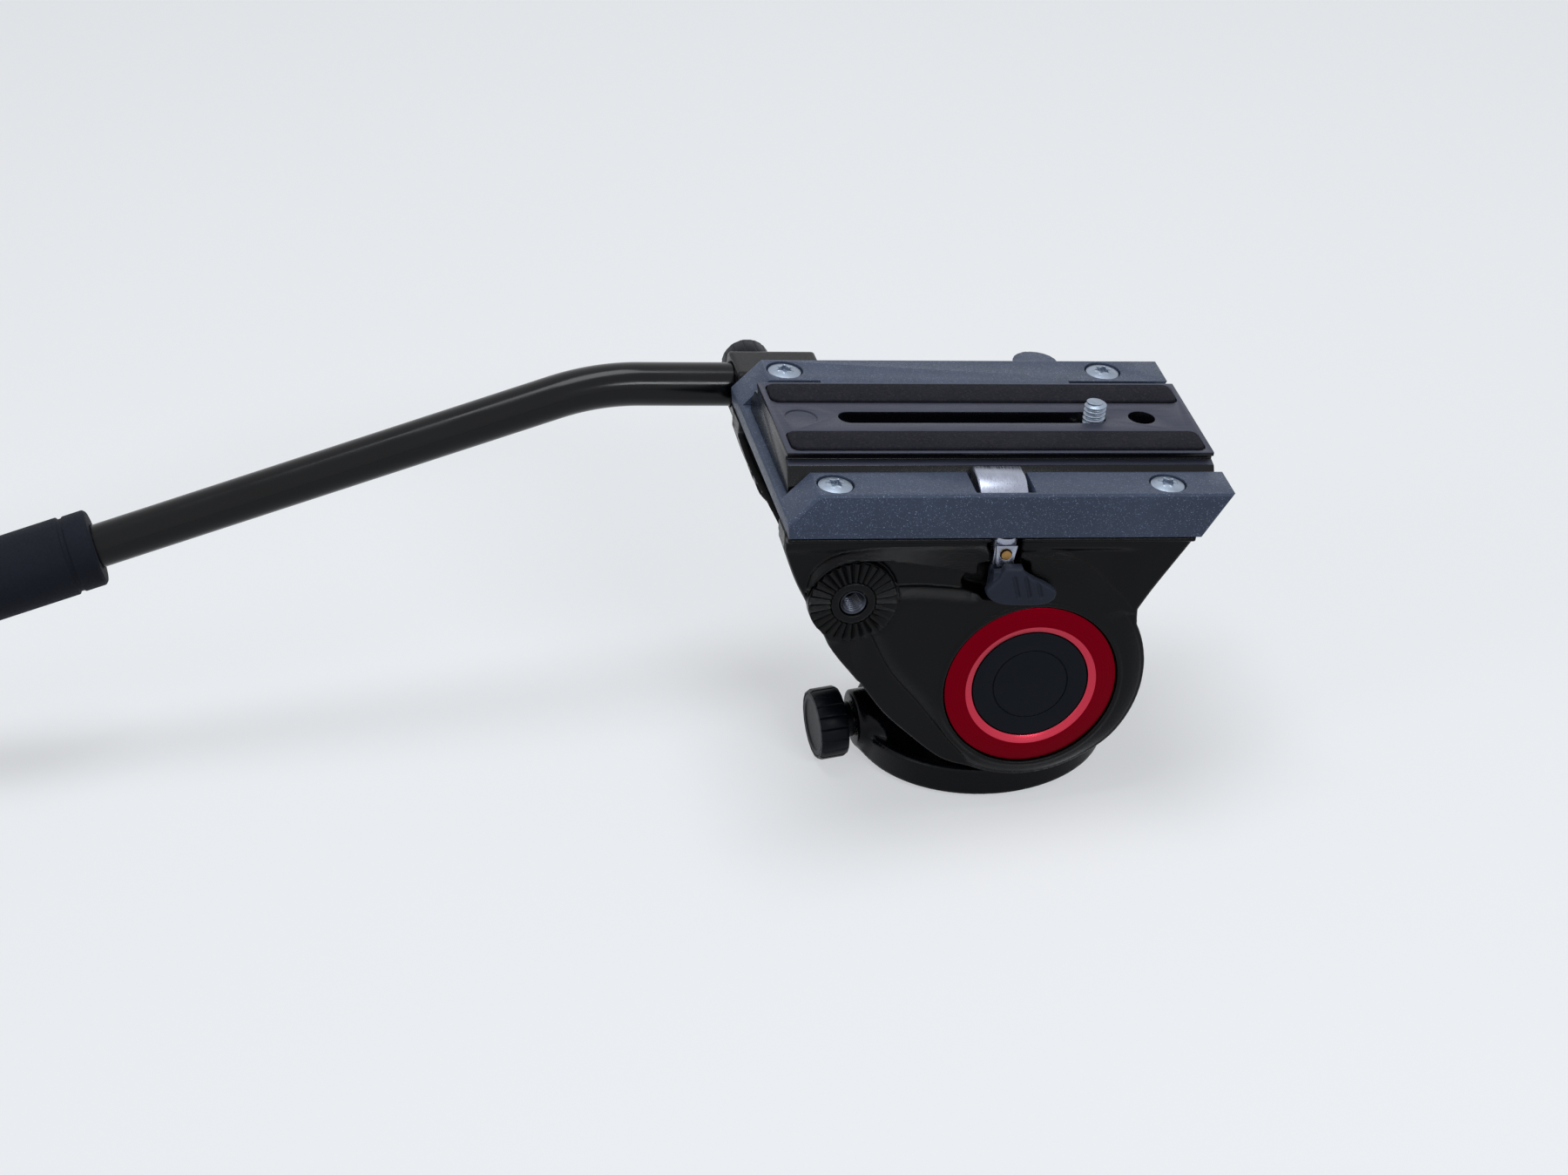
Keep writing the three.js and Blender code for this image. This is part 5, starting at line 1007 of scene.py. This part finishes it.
def tooth_points(steps=4):
    """One tooth along X: a rounded crest at height 0, and valleys that deepen outwards."""
    half = math.pi / TOOTH_COUNT
    rows = []
    for i in range(steps + 1):
        radius = TOOTH_IN + (TOOTH_OUT - TOOTH_IN) * i / steps
        deep = TOOTH * radius / TOOTH_OUT
        section = [(share, -deep * drop) for share, drop in TOOTH_SECTION]
        section += [(1, -TOOTH * 1.6), (-1, -TOOTH * 1.6)]
        rows.append([(radius * math.cos(half * share), radius * math.sin(half * share), height)
                     for share, height in section])
    return stack(rows, capped=True)


def rosette_teeth(name, tip, side, body):
    tooth = template(f"{name}_tooth", *tooth_points())
    matrix = HEAD @ Matrix.Translation((ROSETTE[0], tip, ROSETTE[1])) @ sideways(side)
    tree = circle_tree(f"{name}_tree", tooth, TOOTH_COUNT, black_casting)
    mesh = grown(tree, {"Count": TOOTH_COUNT}, matrix)
    return finished(name, mesh, black_casting, body, (), 32)


rosette_teeth("near_rosette_teeth", -39.8, -1, "tilt_head")
rosette_teeth("far_rosette_teeth", 39.8, 1, "tilt_head")
rosette_teeth("bracket_teeth", 40.1, -1, "bar_arm")

# %% [markdown]
# ### Platform screws
# Four domed screws hold the platform on the cheeks. Each has a six-lobe socket. One screw is modelled
# with care, and the tree sets it on the four places, which are the corners of a rectangle.

# %% A domed screw with a six-lobe socket
HEAD_RADIUS, HEAD_LOW, HEAD_RIM, DOME = 4.65, 58.5, 59.45, 0.95
SHANK_RADIUS, SHANK_END = 2.5, 37.6
LOBE_TIP, LOBE_VALLEY, SOCKET_DEPTH = 2.25, 1.55, 1.3
SCREW_TURN = 0.37


def domed_screw(name, sides=72):
    """Rings from the middle of the socket outwards and down the shank, along +Z."""
    top = HEAD_RIM + DOME
    floor_height = top - SOCKET_DEPTH
    waves = [(0.5 + 0.5 * math.cos(6 * 2 * math.pi * i / sides)) ** 1.4 for i in range(sides)]
    lobes = [LOBE_VALLEY + (LOBE_TIP - LOBE_VALLEY) * wave for wave in waves]
    rings = [ring(0.35, floor_height - 0.15, sides)]
    socket = [(0.96, floor_height), (1.0, floor_height + 0.2), (1.0, top - 0.22), (1.1, top - 0.05)]
    for share, height in socket:
        rings.append(ring([radius * share for radius in lobes], height, sides))
    for share in (0.56, 0.65, 0.75, 0.85, 0.93, 0.98, 1.0):
        rings.append(ring(HEAD_RADIUS * share, top - DOME * share ** 2, sides))
    shank = [(HEAD_RADIUS, HEAD_LOW + 0.15), (HEAD_RADIUS - 0.15, HEAD_LOW), (SHANK_RADIUS, HEAD_LOW),
             (SHANK_RADIUS, SHANK_END + 0.4), (SHANK_RADIUS - 0.4, SHANK_END)]
    rings += [ring(radius, height, sides) for radius, height in shank]
    return template(name, *stack(rings, capped=True))


def corners_tree(name, shape, sizes, material):
    """A tree that sets a copy of a shape on each corner of a rectangle."""
    tree, given, output = node_tree(name, [(label, "NodeSocketFloat", size) for label, size in sizes.items()])
    centre = calculate(tree, "MULTIPLY", calculate(tree, "ADD", given["Back"], given["Front"]), 0.5)
    length = calculate(tree, "SUBTRACT", given["Front"], given["Back"])
    width = calculate(tree, "MULTIPLY", given["Half Width"], 2)
    grid = step(tree, "GeometryNodeMeshGrid", [("Size X", length), ("Size Y", width)],
                [("Vertices X", 2), ("Vertices Y", 2)])
    offset = step(tree, "ShaderNodeCombineXYZ", [("X", centre)])
    place = step(tree, "GeometryNodeSetPosition", [
        ("Geometry", grid.outputs[0]), ("Offset", offset.outputs[0])])
    index = step(tree, "GeometryNodeInputIndex")
    turn = calculate(tree, "MULTIPLY", index.outputs[0], SCREW_TURN)
    copies(tree, place.outputs[0], shape, turn, material, output)
    return tree


corners = {"Back": SCREWS_BACK, "Front": SCREWS_FRONT, "Half Width": SCREWS_OUT}
screws_tree = corners_tree("platform_screws", domed_screw("platform_screw"), corners, bright_zinc)
finished("platform_screws", grown(screws_tree, corners, HEAD), bright_zinc, "tilt_head", PLATFORM_SCREWS,
         38)

# %% [markdown]
# ### The camera screw's thread
# A quarter inch thread has twenty turns to the inch. It is made as a grid of points round the screw: the
# radius at each point follows the turn of the helix, so crest and root wind up without a seam.

# %% The camera screw
CAMERA_SCREW_ALONG, THREAD_LOW, THREAD_HIGH = 19.75, 58.3, 67.4
THREAD_RADIUS, THREAD_PITCH, THREAD_DEPTH = 3.1, 1.27, 0.62


def clipped(value):
    return min(1.0, max(0.0, value))


def thread_radius(height, share):
    """The radius of the thread at a height and a share of a turn."""
    above = max(0.0, height - (THREAD_HIGH - 0.8))
    if height <= THREAD_LOW:
        return THREAD_RADIUS - above * 0.75
    ridge = 1 - abs(2 * ((height / THREAD_PITCH - share) % 1.0) - 1)
    shape = clipped((ridge - 0.12) / 0.72)
    start = clipped((height - THREAD_LOW) / THREAD_PITCH)
    end = min(1.0, max(0.0, (THREAD_HIGH - height) / (THREAD_PITCH * 0.5)) + 0.35)
    return THREAD_RADIUS - THREAD_DEPTH * (1 - shape) - (1 - start * end) * 0.25 - above * 0.75


def camera_screw(sides=64, per_turn=14):
    head = [(0.6, 54.4), (5.2, 54.4), (5.5, 54.7), (5.5, 57.9), (5.2, 58.2), (THREAD_RADIUS, 58.2)]
    rings = [ring(radius, height, sides) for radius, height in head]
    steps = int((THREAD_HIGH - THREAD_LOW) / THREAD_PITCH * per_turn)
    for i in range(steps + 1):
        height = THREAD_LOW + (THREAD_HIGH - THREAD_LOW) * i / steps
        rings.append(ring([thread_radius(height, k / sides) for k in range(sides)], height, sides))
    return stack(rings, capped=True)


shell_piece("camera_screw_threaded", camera_screw(), HEAD @ Matrix.Translation((CAMERA_SCREW_ALONG, 0, 0)),
            bright_zinc, "camera_thread", ["camera_screw"], 50)

# %% [markdown]
# ### Pan bar bracket and levers
# These castings and mouldings are fields again, because their parts run into each other with fillets: a
# socket for the tube, a web, and a toothed lobe for the bracket; a hub and a tapering arm for the tilt
# lock; a fan with a boss for the clamp lever.

# %% Bracket
BAR_OUT, BAR_RISE, TUBE_RADIUS = 50.3, 46.9, 6.2
LOBE_BASE, LOBE_OUT, BRACKET_FACE = 41.4, 48.6, 40.1
SOCKET_BACK, SOCKET_FRONT, SOCKET_OUT, SOCKET_CORNER = -71.8, -46.8, 49.6, 2.4
web_outline = [(-65.4, 26.6), (-41.2, 26.6), (-47.6, 42.6), (-71.0, 42.6)]


def bracket_field(x, y, z):
    across = np.maximum(np.abs(y - SOCKET_OUT) - 8.4 + SOCKET_CORNER, 0)
    upright = np.maximum(np.abs(z - BAR_RISE) - 7.4 + SOCKET_CORNER, 0)
    inside = np.minimum(np.maximum(np.abs(y - SOCKET_OUT) - 6.0, np.abs(z - BAR_RISE) - 5.0), 0)
    box = soft_common(round_distance(across, upright) + inside - SOCKET_CORNER,
                      between(x, SOCKET_BACK, SOCKET_FRONT), 1.0)
    web = soft_common(outline_distance(web_outline, x, z), between(y, LOBE_BASE, LOBE_OUT), 1.0)
    from_rosette = round_distance(x, z, ROSETTE)
    lobe = soft_common(from_rosette - 12.3, between(y, LOBE_BASE, LOBE_OUT), 1.0)
    hub = common(from_rosette - 6.2, between(y, BRACKET_FACE, LOBE_OUT - 1))
    body = soft_join(soft_join(box, web, 2.0), lobe, 0.8)
    body = soft_join(body, hub, 0.3)
    body = soft_cut(body, from_rosette - 2.6, 0.3)
    bore = round_distance(y, z, (BAR_OUT, BAR_RISE), TUBE_RADIUS + 0.3)
    body = soft_cut(body, common(bore, x + 53.7), 0.4)
    return soft_cut(body, common(round_distance(x, z, KNOB_SCREW, 2.3), BAR_OUT - y), 0.3)


field_piece("bar_bracket_casting", bracket_field, (-72.6, 39.4, 13.6), (-40.2, 58.7, 55.0), 0.55,
            black_casting, "bar_arm", ["bar_bracket"])

# %% Tilt lock lever
TILT_ARM_TURN, TILT_ARM = math.radians(116), 30
arm_way = (math.cos(TILT_ARM_TURN), math.sin(TILT_ARM_TURN))


def tilt_lever_field(x, y, z):
    from_axis = round_distance(x, z)
    along = np.clip(x * arm_way[0] + z * arm_way[1], 0, TILT_ARM)
    beside = round_distance(x, z, (along * arm_way[0], along * arm_way[1]))
    arm = soft_common(beside - (8.5 - 4.1 * along / TILT_ARM), between(y, 45.0 + 0.02 * along, 50.0), 1.7)
    hub = soft_common(from_axis - 8.6, between(y, 41.6, 50.9), 1.3)
    body = soft_join(hub, arm, 1.8)
    dish = np.sqrt(x * x + z * z + (y - 66.2) ** 2) - 16.2
    body = soft_cut(body, dish, 0.5)
    return soft_cut(body, common(from_axis - SCREW_BORE, y - 48.3), 0.2)


field_piece("tilt_lever_moulded", tilt_lever_field, (-19.0, 41.0, -9.4), (9.4, 51.6, 32.6), 0.5,
            knob_plastic, "tilt_lock", ["tilt_lock_lever"])

# %% Clamp lever
fan_shares = [(0.22, 0.98), (0.47, 0.98), (0.52, 0.83), (0.67, 0.67), (0.87, 0.5), (0.99, 0.35), (1, 0.22),
              (0.96, 0.1), (0.81, 0), (0.42, 0), (0.2, 0.04), (0.05, 0.18), (0, 0.34), (0.03, 0.46),
              (0.15, 0.7)]
fan_points = [(-17.8 + 19.8 * a, 27.7 + 11.9 * b) for a, b in fan_shares]
fan_line = [*flowing(fan_points[1:], 4), fan_points[0]]
LEVER_IN, LEVER_OUT, GROOVE_HEIGHT = 40.5, 44.2, 33.6
groove_way = (math.cos(math.radians(-72)), math.sin(math.radians(-72)))


def clamp_lever_field(x, y, z):
    w = -y
    crown = LEVER_OUT - 0.006 * ((x + 8) ** 2 + (z - 33) ** 2)
    fan = soft_common(outline_distance(fan_line, x, z), np.maximum(w - crown, LEVER_IN - w), 1.1)
    from_middle = np.abs(x - CLAMP_SHAFT[0])
    body = soft_join(fan, common(from_middle - 3.3, between(w, 36.8, 42.3), between(z, 30.4, 37.6)), 0.5)
    body = soft_cut(body, common(from_middle - 4.3, between(w, 38.5, 40.3), 35.3 - z), 0.15)
    for place in (-9.8, -6.6, -3.4):
        along = np.clip((x - place) * groove_way[0] + (z - GROOVE_HEIGHT) * groove_way[1], -3.0, 3.0)
        off = round_distance(x - place - along * groove_way[0], z - GROOVE_HEIGHT - along * groove_way[1])
        body = soft_cut(body, round_distance(off, w - crown) - 0.62, 0.15)
    return body


field_piece("clamp_lever_moulded", clamp_lever_field, (-18.4, -44.6, 27.2), (2.6, -36.2, 40.2), 0.3,
            lever_plastic, "clamp", ["clamp_lever"])

# %% [markdown]
# ### Tube and grip
# The tube follows one line with a bend, and a tree turns that line into a tube with an inner wall. The
# grip is a lathe piece on the second straight: a smooth collar, a groove, and then a long straight hold
# of soft rubber.

# %% The bent tube
BEND_AT, BEND_RADIUS, BEND = -110.4, 68.0, math.radians(20.5)
TUBE_START, TUBE_WALL = -54.0, 1.2
GRIP_START, GRIP_BORE_END = 146.9, 251.9
TUBE_END = 251.3
bend_run = BEND_RADIUS * math.tan(BEND / 2)
tube_line = [(TUBE_START, BAR_OUT, BAR_RISE), (-70.0, BAR_OUT, BAR_RISE)]
for turn in [BEND * i / 24 for i in range(25)]:
    tube_line.append((BEND_AT + bend_run - BEND_RADIUS * math.sin(turn), BAR_OUT,
                      BAR_RISE - BEND_RADIUS + BEND_RADIUS * math.cos(turn)))
tube_line.append((BEND_AT - TUBE_END * math.cos(BEND), BAR_OUT, BAR_RISE - TUBE_END * math.sin(BEND)))
line_mesh = bpy.data.meshes.new("tube_line")
line_mesh.from_pydata(tube_line, [(i, i + 1) for i in range(len(tube_line) - 1)], [])
line_holder = bpy.data.objects.new("tube_line", line_mesh)

tube_sizes = {"Radius": TUBE_RADIUS, "Wall": TUBE_WALL}
tree, given, output = node_tree("tube", [
    (label, "NodeSocketFloat", size) for label, size in tube_sizes.items()])
line = step(tree, "GeometryNodeObjectInfo", values=[("Object", line_holder)])
curve = step(tree, "GeometryNodeMeshToCurve", [("Mesh", line.outputs["Geometry"])])
walls = []
for radius in (given["Radius"], calculate(tree, "SUBTRACT", given["Radius"], given["Wall"])):
    circle = step(tree, "GeometryNodeCurvePrimitiveCircle", [("Radius", radius)], [("Resolution", 64)])
    walls.append(step(tree, "GeometryNodeCurveToMesh", [
        ("Curve", curve.outputs[0]), ("Profile Curve", circle.outputs[0])]).outputs[0])
turned = step(tree, "GeometryNodeFlipFaces", [("Mesh", walls[1])])
both = step(tree, "GeometryNodeJoinGeometry", [(0, walls[0]), (0, turned.outputs[0])])
close_tree(tree, both.outputs[0], tube_black, output)


def close_ends(shell):
    rims = [edge for edge in shell.edges if edge.is_boundary]
    for low, high in ((-56, 0), (-600, -200)):
        bmesh.ops.bridge_loops(shell, edges=[e for e in rims if low < e.verts[0].co.x < high])
    bmesh.ops.recalc_face_normals(shell, faces=shell.faces)


tube_mesh = grown(tree, tube_sizes, Matrix.Identity(4))
reshape(tube_mesh, close_ends)
tube_mesh.transform(HEAD)
finished("bar_tube_bent", tube_mesh, tube_black, "bar", ["bar_tube"], 40)

# %% The grip
GRIP = HEAD @ Matrix.Translation((BEND_AT, BAR_OUT, BAR_RISE)) @ Matrix.Rotation(math.pi - BEND, 4, "Y")
GRIP_BORE = 6.5
grip_profile = [(GRIP_BORE, GRIP_START), (10.2, GRIP_START), (11.0, 147.7), (11.0, 153.5), (10.6, 153.9),
                (10.6, 154.9), (11.3, 155.3), (11.3, 256.0), (10.6, 256.4), (10.6, 257.4), (11.3, 257.8),
                (11.3, 260.9), (10.6, 262.9), (9.3, 264.2), (7.3, 264.9), (0, 264.9)]
points, faces = lathe(grip_profile, 96, 0.3)
bore_profile = [(GRIP_BORE, GRIP_START), (GRIP_BORE, GRIP_BORE_END), (0, GRIP_BORE_END)]
bore_points, bore_faces = lathe(bore_profile, 96, 0)
faces += [tuple(i + len(points) for i in face) for face in bore_faces]
shell_piece("bar_grip_turned", (points + bore_points, faces), GRIP @ Z_TO_X, grip_rubber, "bar", ["bar_grip"],
            32)

# %% [markdown]
# ### Threads inside the inserts and the tripod socket
# A threaded hole is the screw's grid turned inside out: the bore's radius follows a helix, and a plain
# outer wall closes the sleeve.

# %% Threaded sleeves
def threaded_sleeve(outer, major, depth, pitch, low, high, closed_at=None, sides=72, per_turn=12):
    """A sleeve along Z with an inner thread. With the height of a floor given it is a blind socket."""
    steps = int((high - low) / pitch * per_turn)
    rings = []
    for i in range(steps + 1):
        height = low + (high - low) * i / steps
        mouth = max(0.0, height - (high - 0.9)) * 0.9
        radii = []
        for k in range(sides):
            ridge = clipped((1 - abs(2 * ((height / pitch - k / sides) % 1.0) - 1) - 0.12) / 0.7)
            radii.append(max(major - depth * ridge, major - depth + mouth))
        rings.append(ring(radii, height, sides))
    outside = [(outer - 0.15, high), (outer, high - 0.15), (outer, low if closed_at is None else closed_at)]
    if closed_at is not None:
        outside += [(0.01, closed_at), (0.01, low)]
    rings += [ring(radius, height, sides) for radius, height in outside]
    return stack([*rings, rings[0]])


for name, side in (("near_rosette_insert", -1), ("far_rosette_insert", 1)):
    place = HEAD @ Matrix.Translation((ROSETTE[0], 0, ROSETTE[1])) @ sideways(side)
    shell_piece(f"{name}_threaded", threaded_sleeve(3.6, 3.0, 0.5, 1.0, 31.5, 39.3), place, dark_steel,
                "tilt_head", [name], 40)
shell_piece("tripod_bush_threaded", threaded_sleeve(6.26, 4.76, 0.72, 1.5875, -11.0, 0.0, -13.0),
            STANDING @ Matrix.Rotation(math.pi, 4, "X"), bright_zinc, "base", ["tripod_socket_bush"],
            40)

# %% [markdown]
# ### Base and its screws
# The base disc is turned steel. Three countersunk screws hold it to the spindle, so the disc has a cone
# under each screw head.

# %% Base disc and base screws
softened("base_disc", 0.3, base_steel, "base")
corner_points = [STANDING.inverted() @ v.co for v in nodes[BASE_SCREWS[0]].data.vertices]
screw_spot = sum(corner_points, Vector()) / len(corner_points)
SCREW_CIRCLE, SCREW_BEARING = math.hypot(screw_spot.x, screw_spot.y), math.atan2(screw_spot.y, screw_spot.x)


def countersunk_screw(name, shank, head, drop, end, sides=48):
    """A flat head with a six-sided recess at height 0 and its shank along +Z, set out along X."""
    bearings = [((i / sides * 6) % 1 - 0.5) * math.pi / 3 for i in range(sides)]
    hexagon = [1.15 / max(math.cos(bearing), 0.5) * 0.87 for bearing in bearings]
    levels = [(0.05, 1.05), (hexagon, 1.0), (hexagon, 0.12), ([h + 0.12 for h in hexagon], 0.0),
              (head - 0.1, 0.0), (head, 0.1), (shank, drop), (shank, end)]
    points, faces = stack([ring(radii, height, sides) for radii, height in levels], capped=True)
    return template(name, [(SCREW_CIRCLE + x, y, z) for x, y, z in points], faces)


base_screw = countersunk_screw("base_screw", 1.25, 2.2, 1.3, 12.7)
base_screw_mesh = grown(circle_tree("base_screws", base_screw, 3, bright_zinc), {"Count": 3},
                        STANDING @ Matrix.Translation((0, 0, 0.3)) @ Matrix.Rotation(SCREW_BEARING, 4, "Z"))
finished("base_screws", base_screw_mesh, bright_zinc, "base", BASE_SCREWS, 35)

# %% [markdown]
# ## Light and floor
# A plain pale floor, a large soft lamp above, a narrow one in front and a weak one at the left. The
# camera, reflections and glass see the floor and the world as white, while the object gets only the plain
# studio light.

# %% Floor, world and lamps
def shown_rays(tree):
    """One for the rays that show the background: camera, mirror and glass rays."""
    path = tree.nodes.new("ShaderNodeLightPath").outputs
    mirrored = calculate(tree, "MAXIMUM", path["Is Camera Ray"], path["Is Glossy Ray"])
    return calculate(tree, "MAXIMUM", mirrored, path["Is Transmission Ray"])


def area_lamp(name, place, size, power):
    lamp = bpy.data.lights.new(name, "AREA")
    lamp.shape = "RECTANGLE"
    lamp.size, lamp.size_y = size
    lamp.energy = power
    lamp.color = (0.94, 0.97, 1)
    holder = bpy.data.objects.new(name, lamp)
    bpy.context.scene.collection.objects.link(holder)
    print("lamp:", name, power, "watts")
    direction = LAMP_TARGET - Vector(place)
    holder.matrix_world = Matrix.Translation(place) @ direction.to_track_quat("-Z", "Y").to_matrix().to_4x4()


FLOOR_LEVEL, FLOOR_REACH = (UNDERSIDE - 0.05) * MM, 6
LAMP_TARGET = Vector((0, 0, 0.05))
floor_mesh = bpy.data.meshes.new("floor")
floor_mesh.from_pydata([(x * FLOOR_REACH, y * FLOOR_REACH, FLOOR_LEVEL)
                        for x, y in ((-1, -1), (1, -1), (1, 1), (-1, 1))], [], [(0, 1, 2, 3)])
floor = bpy.data.objects.new("floor", floor_mesh)
bpy.context.scene.collection.objects.link(floor)
floor_finish, tree, shader, place = start_finish("floor_finish", (0.86, 0.86, 0.87), 0.85)
pale = blend_colors(tree, noise(tree, place, 3, 2.0), (0.49, 0.5, 0.51), (0.52, 0.53, 0.54))
shown = shown_rays(tree)
tree.links.new(blend_colors(tree, shown, (0.3, 0.3, 0.31), pale), shader.inputs["Base Color"])
shader.inputs["Emission Color"].default_value = (0.95, 0.97, 1, 1)
tree.links.new(spread(tree, shown, 0, 1, 0, 0.5), shader.inputs["Emission Strength"])
floor_mesh.materials.append(floor_finish)

world = bpy.data.worlds.new("studio")
bpy.context.scene.world = world
world.use_nodes = True
backdrop = world.node_tree.nodes["Background"]
strength = spread(world.node_tree, shown_rays(world.node_tree), 0, 1, 0.13, 1.0)
world.node_tree.links.new(strength, backdrop.inputs["Strength"])
backdrop.inputs["Color"].default_value = (0.97, 0.98, 1.0, 1)
area_lamp("top_lamp", (-0.05, 0.1, 1.35), (0.8, 0.5), 8)
area_lamp("front_lamp", (0.32, -1.1, 0.76), (0.45, 0.16), 4)
area_lamp("left_lamp", (-1.3, -0.5, 0.6), (0.4, 0.8), 2)
bpy.context.scene.view_settings.view_transform = "Standard"
